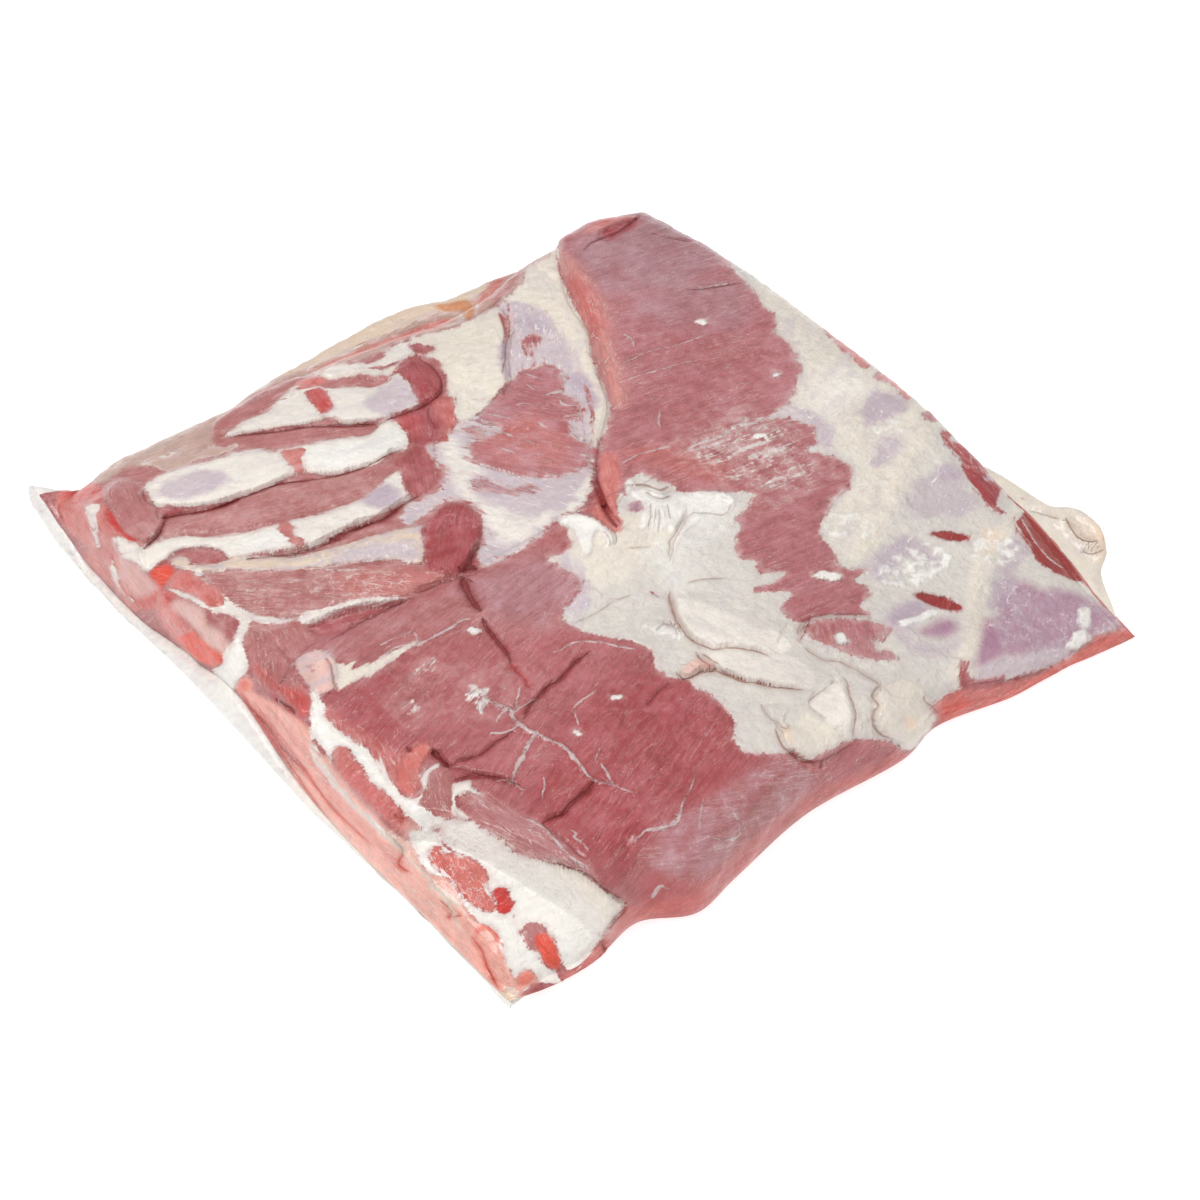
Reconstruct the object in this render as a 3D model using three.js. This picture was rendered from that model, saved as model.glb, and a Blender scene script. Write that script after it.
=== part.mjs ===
// A raw pork belly slab, boned and square-cut, lying on its rind.
//
// It is two grown-together layers. The back fat, with its rind underneath, is a thin sheet that
// reaches past the meat along the left, back and right edges. The lean lies on it: a thick sheet
// with rib channels in its back left quarter, one long muscle along the right, a broad one in
// front, fat in between, and a front left corner that is trimmed down to a lower ledge.
//
// Millimetres, +Z up, origin under the middle of the slab's box. +X runs from the cut left side
// to the right edge, +Y from the front edge to the back. Outlines are plain plan positions in the
// drawing frame, which BOX_CENTRE carries to the part's own frame.
import * as THREE from "three";
import { mergeVertices } from "three/addons/utils/BufferGeometryUtils.js";

// ---- Driving sizes ----
const BOX_CENTRE = { x: 16.93, y: 8.96 }; // middle of the slab's box in the drawing frame
const SLAB_HEIGHT = 35; // top of the lean over most of the slab
const LAYER_GAP = 0.7; // between the two layers' meshes
const FAT_DEPTH = 10; // back fat and rind together, in the middle
const FLANK_HEIGHT = 9; // the thin front right corner
const BACK_CORNER_HEIGHT = 19; // the thin back left corner
const LEDGE_HEIGHT = { back: 24, front: 11 }; // trimmed front left corner
const LEAN_SEGMENTS = { x: 44, y: 48, z: 3 };
const FAT_SEGMENTS = { x: 28, y: 30, z: 2 };

// ---- Plan outlines, each side from the front or the left end ----
const LEAN_SIDES = {
  left: [[-159, -170], [-160, -120], [-161, -60], [-158, 5], [-157, 60], [-160, 95], [-160, 135], [-161, 176]],
  right: [[168, -169], [173, -140], [180, -100], [185, -50], [187, 40], [188, 120], [182, 177]],
  front: [
    [-159, -170], [-142, -173], [-122, -172], [-99, -167], [-78, -177], [-54, -172], [-10, -163],
    [39, -164], [65, -158], [101, -164], [132, -165], [168, -169],
  ],
  back: [[-161, 176], [-136, 172], [-86, 173], [0, 174], [60, 168], [100, 175], [127, 178], [150, 182], [182, 177]],
};
const FAT_SIDES = {
  left: [[-161, -172], [-161, -110], [-164, -40], [-163, 50], [-165, 120], [-163, 187]],
  right: [
    [165, -166], [173, -155], [181, -142], [188, -132], [195, -127], [199, -119], [199, -110], [196, -98],
    [196, -78], [195, -60], [191, -40], [188, -15], [187, 50], [187, 120], [184, 181],
  ],
  front: [[-161, -172], [-100, -162], [0, -157], [100, -158], [165, -166]],
  back: [
    [-163, 187], [-145, 179], [-86, 182], [-30, 188], [20, 195], [45, 196], [66, 190], [92, 190], [127, 187],
    [184, 181],
  ],
};

// ---- Relief of the lean, as lines in plan ----
const RIB_BARS = [
  { line: [[-80, 146], [-50, 142], [-12, 132]], half: 11, height: 3 },
  { line: [[-134, 125], [-100, 120], [-70, 111], [-26, 99]], half: 14, height: 3.2 },
  { line: [[-154, 95], [-134, 88], [-112, 74], [-80, 65], [-42, 68]], half: 10, height: 2.8 },
  { line: [[-145, 80], [-130, 67], [-105, 53], [-80, 40], [-62, 33]], half: 9, height: 2.4 },
];
const RIB_CHANNELS = [
  [[-82, 141], [-52, 131], [-28, 113], [2, 110]],
  [[-148, 103], [-134, 111], [-110, 106], [-84, 103], [-54, 91], [-28, 87]],
  [[-126, 71], [-108, 59], [-90, 56], [-60, 54], [-40, 58]],
  [[-112, 46], [-90, 33], [-66, 18]],
];
const RIB_SLANT = 0.32; // how far the ribs fall towards the front per length to the right
const CHANNEL = { half: 5.5, depth: 4 };
const LONG_MUSCLE_EDGE = [[124, 176], [106, 145], [92, 110], [76, 80], [62, 57], [44, 42], [29, 26], [18, 0], [15, -16]];
const FRONT_MUSCLE_EDGE = [[0, 3], [-60, 3], [-100, 5], [-130, 4], [-148, -6]];
const MUSCLE_STEP = { height: 4.5, rise: 5, reach: 60 };
const LEDGE_EDGE = [[-152, -96], [-139, -113], [-127, -140], [-118, -163], [-112, -190]];
const LEDGE_RISE = 6; // half the run over which the ledge climbs to the lean
const FAT_FLAPS = [
  { line: [[8, -60], [-2, -80], [6, -99], [22, -113]], half: 9, height: 3.2 },
  { line: [[-6, -95], [2, -116], [14, -131]], half: 8, height: 3.0 },
  { line: [[4, -150], [22, -146]], half: 12, height: 2.2 },
  { line: [[20, -170], [40, -166]], half: 9, height: 2.4 },
];
const MUSCLE_SEAMS = [
  [[-62, 0], [-68, -30], [-74, -66]],
  [[-128, -84], [-96, -82], [-66, -70], [-38, -66]],
  [[-118, -130], [-84, -124], [-60, -106], [-24, -100]],
];
const SEAM = { half: 4, depth: 1.2 };
const SWELLS = [
  { x: 125, y: 110, rx: 55, ry: 80, height: 4 },
  { x: -75, y: -110, rx: 60, ry: 70, height: 3.5 },
  { x: 15, y: -50, rx: 45, ry: 60, height: -2 },
  { x: 35, y: 70, rx: 35, ry: 45, height: -3 },
];

// ---- Small helpers ----
const { clamp, lerp } = THREE.MathUtils;
const ease = (from, to, value) => {
  const t = clamp((value - from) / (to - from), 0, 1);
  return t * t * (3 - 2 * t);
};

/** A smooth hump, 1 at its middle. */
const hump = (value, middle, reach) => Math.exp(-(((value - middle) / reach) ** 2));

/** A smooth plan line that tells how far a point lies from it, and on which side. */
class PlanLine {
  constructor(points, steps = 40) {
    const curve = new THREE.SplineCurve(points.map(([x, y]) => new THREE.Vector2(x, y)));
    this.points = curve.getPoints(steps);
  }

  /** Signed distance in mm: positive to the left of the line's direction. */
  offset(x, y) {
    let nearest = Infinity;
    let side = 1;
    for (let i = 0; i + 1 < this.points.length; i++) {
      const a = this.points[i];
      const b = this.points[i + 1];
      const run = { x: b.x - a.x, y: b.y - a.y };
      const t = clamp(((x - a.x) * run.x + (y - a.y) * run.y) / (run.x ** 2 + run.y ** 2), 0, 1);
      const off = { x: x - a.x - t * run.x, y: y - a.y - t * run.y };
      const distance = Math.hypot(off.x, off.y);
      if (distance < nearest) {
        nearest = distance;
        side = Math.sign(run.x * off.y - run.y * off.x) || 1;
      }
    }
    return side * nearest;
  }

  /** x of the line where it crosses a y; the line's y must only fall along it. */
  xAt(y) {
    const next = this.points.findIndex((point) => point.y <= y);
    if (next === 0) return this.points[0].x;
    if (next < 0) return this.points[this.points.length - 1].x;
    const [a, b] = [this.points[next - 1], this.points[next]];
    return lerp(a.x, b.x, (a.y - y) / (a.y - b.y));
  }

  /** 1 on the line, falling smoothly to 0 at half a width from it. */
  band(x, y, half) {
    return 1 - ease(0, half, Math.abs(this.offset(x, y)));
  }
}

/** A four-sided patch of plan: x and y for u, v from 0 to 1 between four smooth sides. */
class PlanPatch {
  constructor(sides) {
    const smooth = (points) => new THREE.SplineCurve(points.map(([x, y]) => new THREE.Vector2(x, y)));
    this.left = smooth(sides.left);
    this.right = smooth(sides.right);
    this.front = smooth(sides.front);
    this.back = smooth(sides.back);
  }

  /** Coons patch: the two ruled surfaces between facing sides, less the one through the corners. */
  at(u, v) {
    const across = this.left.getPointAt(v).multiplyScalar(1 - u).addScaledVector(this.right.getPointAt(v), u);
    const along = this.front.getPointAt(u).multiplyScalar(1 - v).addScaledVector(this.back.getPointAt(u), v);
    const corners = this.left.getPoint(0).multiplyScalar((1 - u) * (1 - v))
      .addScaledVector(this.right.getPoint(0), u * (1 - v))
      .addScaledVector(this.left.getPoint(1), (1 - u) * v)
      .addScaledVector(this.right.getPoint(1), u * v);
    return across.add(along).sub(corners);
  }
}

// ---- Heights ----
/** Top of the back fat, under the lean and on the rim that shows beyond it. */
function fatTop(x, y) {
  const cutSide = 3.2 + 12.5 * hump(y, 18, 28) + 2.5 * hump(y, 60, 25) + 12 * ease(135, 172, y);
  const backSwell = 12 * ease(112, 182, y) * ease(-110, -30, x) * ease(168, 95, x);
  const thinFront = 8.3 * ease(-90, -158, y);
  const thinRight = 1 * ease(120, 175, x) * ease(40, -60, y);
  const flap = 5 * ease(185, 198, x) * Math.exp(-(((y + 116) / 20) ** 4));
  const inner = FAT_DEPTH + backSwell - thinFront - thinRight + flap;
  return lerp(inner, cutSide, ease(-118, -158, x)) + rindLift(x, y);
}

/** How far the rind is lifted off the surface: at the curled back left tip and under the flap. */
function rindLift(x, y) {
  const backLeft = 6 * ease(26, 0, Math.hypot(x + 163, y - 187));
  const flap = 4 * ease(186, 198, x) * Math.exp(-(((y + 114) / 22) ** 4));
  return backLeft + flap;
}

/** The slab's top without its relief: level, thin at the flank corner, low at the back left corner. */
function plainTop(x, y) {
  const flank = ease(10, 190, Math.hypot(x - 168, y + 175));
  const corner = ease(0, 34, Math.hypot(x + 158, y - 171));
  const backFall = 5 * ease(120, 176, y) * ease(110, 40, x);
  const rise = lerp(FLANK_HEIGHT, SLAB_HEIGHT, flank) - backFall;
  return lerp(BACK_CORNER_HEIGHT, rise, corner);
}

const lines = (list) => list.map((points) => new PlanLine(points));
const ribBars = RIB_BARS.map((bar) => ({ ...bar, path: new PlanLine(bar.line) }));
const fatFlaps = FAT_FLAPS.map((flap) => ({ ...flap, path: new PlanLine(flap.line) }));
const ribChannels = lines(RIB_CHANNELS);
const muscleSeams = lines(MUSCLE_SEAMS);
const longMuscleEdge = new PlanLine(LONG_MUSCLE_EDGE);
const frontMuscleEdge = new PlanLine(FRONT_MUSCLE_EDGE);
const ledgeEdge = new PlanLine(LEDGE_EDGE);

/** A muscle's rounded shoulder: a climb on the left of its edge that fades out further in. */
function shoulder(edge, x, y) {
  const offset = edge.offset(x, y);
  return MUSCLE_STEP.height * ease(-MUSCLE_STEP.rise, MUSCLE_STEP.rise, offset) * ease(MUSCLE_STEP.reach, 8, Math.abs(offset));
}

/** Top of the lean with bars, channels, shoulders, flaps, seams and the trimmed ledge. */
function leanTop(x, y) {
  let top = plainTop(x, y);
  for (const swell of SWELLS) {
    top += swell.height * Math.exp(-(((x - swell.x) / swell.rx) ** 2) - ((y - swell.y) / swell.ry) ** 2);
  }
  for (const { path, half, height } of ribBars) top += height * Math.sqrt(path.band(x, y, half));
  for (const channel of ribChannels) top -= CHANNEL.depth * channel.band(x, y, CHANNEL.half);
  for (const { path, half, height } of fatFlaps) top += height * path.band(x, y, half);
  for (const seam of muscleSeams) top -= SEAM.depth * seam.band(x, y, SEAM.half);
  top += shoulder(longMuscleEdge, x, y) + shoulder(frontMuscleEdge, x, y);
  const ledge = lerp(LEDGE_HEIGHT.back, LEDGE_HEIGHT.front, ease(-105, -178, y));
  const onLedge = ease(-LEDGE_RISE, LEDGE_RISE, -ledgeEdge.offset(x, y)) * ease(-88, -104, y);
  return lerp(top, ledge, onLedge);
}

/** How far a rounded edge drops at a distance from it: a quarter ellipse. */
function rollOff(distance, radius, drop) {
  const t = 1 - clamp(distance / radius, 0, 1);
  return drop * (1 - Math.sqrt(1 - t * t));
}

/** Edge rounding over the whole sheet: the largest drop that any of the four sides asks for. */
function edgeDrop(u, v, rounding) {
  const width = 340;
  const length = 350;
  return Math.max(
    rollOff(u * width, ...rounding.left),
    rollOff((1 - u) * width, ...rounding.right),
    rollOff(v * length, ...rounding.front),
    rollOff((1 - v) * length, ...rounding.back),
  );
}

const LEAN_ROUNDING = { left: [7, 6], right: [24, 12], front: [20, 13], back: [16, 8] };
const FAT_ROUNDING = { left: [4, 2], right: [6, 3], front: [5, 1], back: [7, 5] };

// ---- Grids ----
/** Spreads grid lines so that they lie closest where the density is highest; 0 to 1 gives 0 to 1. */
class GridSpacing {
  constructor(density, steps = 200) {
    this.sums = [0];
    for (let i = 0; i < steps; i++) this.sums.push(this.sums[i] + density((i + 0.5) / steps));
  }

  at(t) {
    const steps = this.sums.length - 1;
    const wanted = clamp(t, 0, 1) * this.sums[steps];
    let i = 0;
    while (i < steps - 1 && this.sums[i + 1] < wanted) i++;
    return clamp((i + (wanted - this.sums[i]) / (this.sums[i + 1] - this.sums[i])) / steps, 0, 1);
  }
}

const nearEnds = (t, reach) => Math.exp(-((t / reach) ** 2)) + Math.exp(-(((1 - t) / reach) ** 2));
const ribQuarter = (t, from, to) => ease(from - 0.05, from + 0.05, t) * ease(to + 0.05, to - 0.05, t);
const LEAN_SPACING = {
  x: new GridSpacing((u) => 1 + 2.6 * nearEnds(u, 0.035) + 0.25 * ribQuarter(u, 0.03, 0.42)),
  y: new GridSpacing((v) => 1 + 1.6 * nearEnds(v, 0.04) + 1.3 * ribQuarter(v, 0.55, 0.94)),
};
const FAT_SPACING = {
  x: new GridSpacing((u) => 1 + 1.8 * nearEnds(u, 0.05)),
  y: new GridSpacing((v) => 1 + 1.8 * nearEnds(v, 0.05)),
};

/** 0 at both ends, 1 at the middle value, straight in between. */
const tent = (t, from, middle, to) => clamp(Math.min((t - from) / (middle - from), (to - t) / (to - middle)), 0, 1);

/** Where a grid point of the lean goes: rows run along the ribs, columns along the trimmed ledge. */
function leanGrid(u, v) {
  const alongRibs = RIB_SLANT * (0.22 - u) * tent(u, -0.3, 0.2, 0.5) * tent(v, 0.42, 0.72, 1);
  const ledgeColumn = 0.08;
  const swing = (ledgeEdge.xAt(lerp(-170, 172, v)) + 131) / 335;
  const alongLedge = swing * tent(u, 0, ledgeColumn, 0.35) * ease(0.45, 0.24, v);
  return { u: u + alongLedge, v: v + alongRibs };
}

const plainGrid = (u, v) => ({ u, v });

// ---- Sheets ----
/**
 * A closed sheet of tissue: a segmented box whose top and underside follow two height functions
 * and whose four sides follow the patch, swelling a little at mid height.
 */
function sheetGeometry(segments, spacing, grid, patch, top, underside, rounding, swell) {
  const box = new THREE.BoxGeometry(1, 1, 1, segments.x, segments.y, segments.z);
  box.deleteAttribute("normal");
  box.deleteAttribute("uv");
  const sheet = mergeVertices(box, 1e-4);
  const position = sheet.getAttribute("position");
  for (let i = 0; i < position.count; i++) {
    const { u, v } = grid(spacing.x.at(position.getX(i) + 0.5), spacing.y.at(position.getY(i) + 0.5));
    const level = position.getZ(i) + 0.5;
    const plan = patch.at(u, v);
    const low = underside(plan.x, plan.y);
    const high = Math.max(top(plan.x, plan.y) - edgeDrop(u, v, rounding), low + 1.2);
    const push = swell * Math.sin(Math.PI * level);
    const outX = u > 0.9999 ? 1 : u < 0.0001 ? -1 : 0;
    const outY = v > 0.9999 ? 1 : v < 0.0001 ? -1 : 0;
    position.setXYZ(
      i,
      plan.x + outX * push - BOX_CENTRE.x,
      plan.y + outY * push - BOX_CENTRE.y,
      lerp(low, high, level),
    );
  }
  sheet.computeVertexNormals();
  return sheet;
}

function makeLean() {
  const geometry = sheetGeometry(
    LEAN_SEGMENTS,
    LEAN_SPACING,
    leanGrid,
    new PlanPatch(LEAN_SIDES),
    leanTop,
    (x, y) => Math.max(fatTop(x, y) + LAYER_GAP, 1),
    LEAN_ROUNDING,
    2.5,
  );
  const material = new THREE.MeshStandardMaterial({ color: 0xb4575b, roughness: 0.42, metalness: 0 });
  const lean = new THREE.Mesh(geometry, material);
  lean.name = "lean";
  return lean;
}

function makeBackFat() {
  const patch = new PlanPatch(FAT_SIDES);
  const shape = [patch, fatTop, rindLift, FAT_ROUNDING, 0.8];
  const geometry = sheetGeometry(FAT_SEGMENTS, FAT_SPACING, plainGrid, ...shape);
  const material = new THREE.MeshStandardMaterial({ color: 0xece2d4, roughness: 0.5, metalness: 0 });
  const fat = new THREE.Mesh(geometry, material);
  fat.name = "back_fat";
  return fat;
}

const slab = new THREE.Group();
slab.add(makeBackFat(), makeLean());

export default slab;
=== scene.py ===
"""A raw pork belly slab lying on its rind on a pale floor.

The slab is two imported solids, the lean and the back fat. Each is replaced here by a dense skin of
the same shape, with finer relief, that carries the look of meat and fat. What grows where is drawn
once, as named regions, lips and strokes on a slanted drawing plane, and both skins read it there.
"""

import logging
import math
from dataclasses import dataclass, field
from enum import Enum

import bpy
import numpy as np
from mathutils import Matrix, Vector

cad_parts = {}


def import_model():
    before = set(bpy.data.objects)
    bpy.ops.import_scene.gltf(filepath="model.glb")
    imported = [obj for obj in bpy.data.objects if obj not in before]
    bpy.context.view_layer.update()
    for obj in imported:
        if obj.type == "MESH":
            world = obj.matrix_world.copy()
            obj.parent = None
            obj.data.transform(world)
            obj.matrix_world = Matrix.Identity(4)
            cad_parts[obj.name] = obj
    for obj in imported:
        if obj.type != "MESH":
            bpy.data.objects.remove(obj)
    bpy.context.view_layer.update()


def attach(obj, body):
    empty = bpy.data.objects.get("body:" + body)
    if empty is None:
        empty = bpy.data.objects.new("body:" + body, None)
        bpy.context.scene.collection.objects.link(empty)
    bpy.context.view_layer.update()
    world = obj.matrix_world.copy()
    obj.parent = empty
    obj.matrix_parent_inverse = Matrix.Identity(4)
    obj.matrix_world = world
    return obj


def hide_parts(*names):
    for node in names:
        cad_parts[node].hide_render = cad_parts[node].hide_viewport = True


log = logging.getLogger("pork_belly")
MM = 0.001
Points = tuple[tuple[float, float], ...]
Colour = tuple[float, float, float]
Look = dict[str, np.ndarray]
Window = tuple[slice, slice]


# ---------------------------------------------------------------- sizes
@dataclass(frozen=True)
class SlabSizes:
    """Driving sizes of the slab, in mm: the part's own, but for a steeper climb from its ledge.

    Attributes:
        centre: middle of the slab's box in the drawing frame.
        height: top of the lean over most of the slab.
        fat_depth: back fat and rind together, in the middle.
        layer_gap: between the two skins.
        flank_height: the thin front right corner.
        back_corner_height: the thin back left corner.
        ledge_back: height of the trimmed ledge at its back end.
        ledge_front: height of the trimmed ledge at its front end.
        ledge_rise: half the run over which the ledge climbs to the lean.
        shoulder: height of the long and the front muscle's shoulders.
        back_fall: how far the lean falls towards the back.
        tip_lift: how far the rind is off the floor at the back left tip.
        flap_lift: the same under the flap at the right.
        flap_fat: extra depth of the fat in the flap.
        back_fat: how much thicker the back fat grows towards the back.
        front_thinning: how much thinner it grows towards the front.
        right_thinning: how much thinner it grows towards the right.
    """

    centre: tuple[float, float] = (16.93, 8.96)
    height: float = 35.0
    fat_depth: float = 10.0
    layer_gap: float = 0.7
    flank_height: float = 9.0
    back_corner_height: float = 19.0
    ledge_back: float = 24.0
    ledge_front: float = 11.0
    ledge_rise: float = 3.5
    shoulder: float = 4.5
    back_fall: float = 5.0
    tip_lift: float = 6.0
    flap_lift: float = 4.0
    flap_fat: float = 5.0
    back_fat: float = 12.0
    front_thinning: float = 8.3
    right_thinning: float = 1.0


SIZES = SlabSizes()

LEAN_SIDES: dict[str, Points] = {
    "left": (
        (-159, -170), (-160, -120), (-161, -60), (-158, 5), (-157, 60), (-160, 95), (-160, 135), (-161, 176),
    ),
    "right": ((168, -169), (173, -140), (180, -100), (185, -50), (187, 40), (188, 120), (182, 177)),
    "front": (
        (-159, -170), (-142, -173), (-122, -172), (-99, -167), (-78, -177), (-54, -172),
        (-10, -163), (39, -164), (65, -158), (101, -164), (132, -165), (168, -169),
    ),
    "back": (
        (-161, 176), (-136, 172), (-86, 173), (0, 174), (60, 168), (100, 175), (127, 178), (150, 182),
        (182, 177),
    ),
}
FAT_SIDES: dict[str, Points] = {
    "left": ((-161, -172), (-161, -110), (-164, -40), (-163, 50), (-165, 120), (-163, 187)),
    "right": (
        (165, -166), (173, -155), (181, -142), (188, -132), (195, -127), (199, -119), (199, -110),
        (196, -98), (196, -78), (195, -60), (191, -40), (188, -15), (187, 50), (187, 120), (184, 181),
    ),
    "front": ((-161, -172), (-100, -162), (0, -157), (100, -158), (165, -166)),
    "back": (
        (-163, 187), (-145, 179), (-86, 182), (-30, 188), (20, 195), (45, 196), (66, 190), (92, 190),
        (127, 187), (184, 181),
    ),
}


# ---------------------------------------------------------------- small maths
def ease(start: float, stop: float, value: np.ndarray) -> np.ndarray:
    """Smooth step from 0 at start to 1 at stop; start may be the larger.

    Args:
        start: value at which the step is 0.
        stop: value at which the step is 1.
        value: where to read it.

    Returns:
        The step at every value.
    """
    t = np.clip((value - start) / (stop - start), 0.0, 1.0)
    return t * t * (3.0 - 2.0 * t)


def bump(value: np.ndarray, centre: float, reach: float) -> np.ndarray:
    """Bell curve, 1 at its centre."""
    return np.exp(-(((value - centre) / reach) ** 2))


def span(values: np.ndarray, low: float, high: float) -> slice:
    """The stretch of rising values between two limits."""
    return slice(*np.searchsorted(values, (low, high)))


class Noise:
    """Seeded gradient noise in the plane, about -1 to 1."""

    def __init__(self, seed: int, size: int = 256) -> None:
        """Draws a table of random directions.

        Args:
            seed: which noise.
            size: cells before it repeats.
        """
        angle = np.random.default_rng(seed).uniform(0, 2 * np.pi, (size, size))
        self._size = size
        self._dir = np.stack([np.cos(angle), np.sin(angle)], -1)

    def at(self, x: np.ndarray, y: np.ndarray, scale: float) -> np.ndarray:
        """Noise whose lumps are about scale wide.

        Args:
            x: first coordinates.
            y: second coordinates.
            scale: size of a lump, in the coordinates' unit.

        Returns:
            The noise at every point.
        """
        px, py = x / scale, y / scale
        ix, iy = np.floor(px).astype(int), np.floor(py).astype(int)
        fx, fy = px - ix, py - iy
        wx, wy = (f * f * f * (f * (f * 6 - 15) + 10) for f in (fx, fy))

        def corner(dx: int, dy: int) -> np.ndarray:
            """What one corner of the cell gives to its points."""
            d = self._dir[(ix + dx) % self._size, (iy + dy) % self._size]
            return d[..., 0] * (fx - dx) + d[..., 1] * (fy - dy)

        low = corner(0, 0) * (1 - wx) + corner(1, 0) * wx
        high = corner(0, 1) * (1 - wx) + corner(1, 1) * wx
        return 1.5 * (low * (1 - wy) + high * wy)

    def octaves(self, x: np.ndarray, y: np.ndarray, scale: float, count: int = 3) -> np.ndarray:
        """Sum of noises, each half the size and 0.55 of the strength of the one before.

        Args:
            x: first coordinates.
            y: second coordinates.
            scale: size of the largest lumps.
            count: how many noises.

        Returns:
            The sum at every point, brought back to about -1 to 1.
        """
        total, gain, norm = np.zeros_like(x), 1.0, 0.0
        for i in range(count):
            total += gain * self.at(x + 37.1 * i, y - 19.7 * i, scale / 2**i)
            norm += gain
            gain *= 0.55
        return total / norm


class PlanCurve:
    """A smooth curve through plan points, read by its length from 0 to 1."""

    def __init__(self, points: Points | str, closed: bool = False, step: float = 2.5) -> None:
        """Puts a Catmull-Rom curve through the points and cuts it into equal lengths.

        Args:
            points: what it passes through, in mm, as pairs or as a text of "x,y" pairs.
            closed: whether it runs back to its first point.
            step: about how long a cut is.
        """
        if isinstance(points, str):
            points = [pair.split(",") for pair in points.split()]
        p = np.asarray(points, float)
        if closed:
            p = np.concatenate([p[-1:], p, p[:2]])
        else:
            p = np.concatenate([p[:1], p, p[-1:]])
        t = np.linspace(0, 1, 12, endpoint=False)[:, None]
        runs = []
        for a, b, c, d in zip(p[:-3], p[1:-2], p[2:-1], p[3:]):
            v0, v1 = (c - a) / 2, (d - b) / 2
            runs.append((2 * b - 2 * c + v0 + v1) * t**3 + (3 * c - 3 * b - 2 * v0 - v1) * t**2 + v0 * t + b)
        runs.append(p[-2:-1])
        fine = np.concatenate(runs)
        length = np.concatenate([[0], np.cumsum(np.hypot(*np.diff(fine, axis=0).T))])
        self.length = float(length[-1])
        self._fine, self._share = fine, length / length[-1]
        count = max(int(self.length / step), 8)
        self.points = self.at(np.linspace(0, 1, count + 1))
        self.closed = closed

    def at(self, share: np.ndarray) -> np.ndarray:
        """Points at shares of the length, as rows of x and y."""
        return np.stack([np.interp(share, self._share, self._fine[:, k]) for k in (0, 1)], -1)

    def box(self, margin: float) -> tuple[float, float, float, float]:
        """Lowest and highest x and y, widened by a margin."""
        low, high = self.points.min(0) - margin, self.points.max(0) + margin
        return float(low[0]), float(high[0]), float(low[1]), float(high[1])

    def cut(self, i: int, x: np.ndarray, y: np.ndarray) -> tuple[np.ndarray, np.ndarray, np.ndarray]:
        """How points lie to one cut of the curve.

        Args:
            i: number of the cut.
            x: point x.
            y: point y.

        Returns:
            Squared distance, side (1 left of the direction, else -1) and share of the whole length.
        """
        (ax, ay), (bx, by) = self.points[i], self.points[i + 1]
        rx, ry = bx - ax, by - ay
        px, py = x - ax, y - ay
        t = np.clip((px * rx + py * ry) / (rx * rx + ry * ry + 1e-12), 0, 1)
        ox, oy = px - t * rx, py - t * ry
        side = np.where(rx * oy - ry * ox >= 0, 1.0, -1.0)
        return ox * ox + oy * oy, side, (i + t) / (len(self.points) - 1)

    def measure(self, x: np.ndarray, y: np.ndarray) -> tuple[np.ndarray, np.ndarray, np.ndarray]:
        """How points lie to an open curve, by its nearest cut.

        Args:
            x: point x.
            y: point y.

        Returns:
            Distance, side (1 left of the direction, else -1) and share of the length.
        """
        best = (np.full(x.shape, 1e9), np.ones(x.shape), np.zeros(x.shape))
        for i in range(len(self.points) - 1):
            found = self.cut(i, x, y)
            near = found[0] < best[0]
            best = tuple(np.where(near, new, old) for new, old in zip(found, best))
        return np.sqrt(best[0]), best[1], best[2]


# ---------------------------------------------------------------- what grows where
class Tissue(Enum):
    """What a region is made of."""

    LEAN = "lean"
    FAT = "fat"


class Tint(Enum):
    """Named colours of meat and fat, as display values from 0 to 255."""

    DUSTY = (179, 92, 94)
    DEEP = (172, 66, 70)
    BLOOD = (160, 52, 50)
    BRIGHT = (208, 56, 48)
    MAUVE = (186, 114, 111)
    ROSE = (186, 108, 111)
    PLUM = (180, 126, 132)
    CORAL = (210, 118, 110)
    ORANGE = (230, 84, 62)
    SALMON = (218, 118, 108)
    STREAKY = (246, 178, 162)
    PALE_PINK = (236, 190, 178)
    PURPLE = (172, 126, 148)
    BROWNISH = (196, 162, 148)
    WHITE = (241, 237, 230)
    BONE = (236, 228, 218)
    CREAM = (230, 220, 205)
    TAN = (222, 200, 178)
    GREYISH = (216, 209, 200)
    LILAC = (205, 189, 193)
    DEEP_LILAC = (187, 167, 179)
    PEACH = (242, 210, 180)
    OCHRE = (206, 140, 96)

    @property
    def linear(self) -> np.ndarray:
        """The colour as scene-linear values."""
        c = np.asarray(self.value, float) / 255
        return np.where(c <= 0.04045, c / 12.92, ((c + 0.055) / 1.055) ** 2.4)


@dataclass(frozen=True)
class Region:
    """A patch of one tissue, drawn as a closed smooth outline.

    Attributes:
        name: what it is.
        tissue: lean or fat.
        tint: its colour.
        outline: plan points around it.
        rise: how far it stands out, in mm.
        shoulder: run over which it rises.
        dome: extra height towards its middle.
        soft: half the run over which its colour fades in.
        ragged: how far its edge wanders.
        grain: direction its fibres run, in degrees.
        marble: strength of pale streaks, 0 to 1.
        torn: how far lean and fat run into each other along the fibres, 0 to 1.
        veil: strength of the silvery film over the meat, partly a painted sheen, 0 to 1.
        frost: strength of the white web over the meat, 0 to 1.
        paint_only: it recolours, and leaves the border between lean and fat alone.
        strength: how much of its colour goes on.
    """

    name: str
    tissue: Tissue
    tint: Tint
    outline: str
    rise: float = 0.0
    shoulder: float = 2.0
    dome: float = 0.0
    soft: float = 1.5
    ragged: float = 1.2
    grain: float | None = None
    marble: float | None = None
    torn: float | None = None
    veil: float | None = None
    frost: float | None = None
    paint_only: bool = False
    strength: float = 1.0


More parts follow.
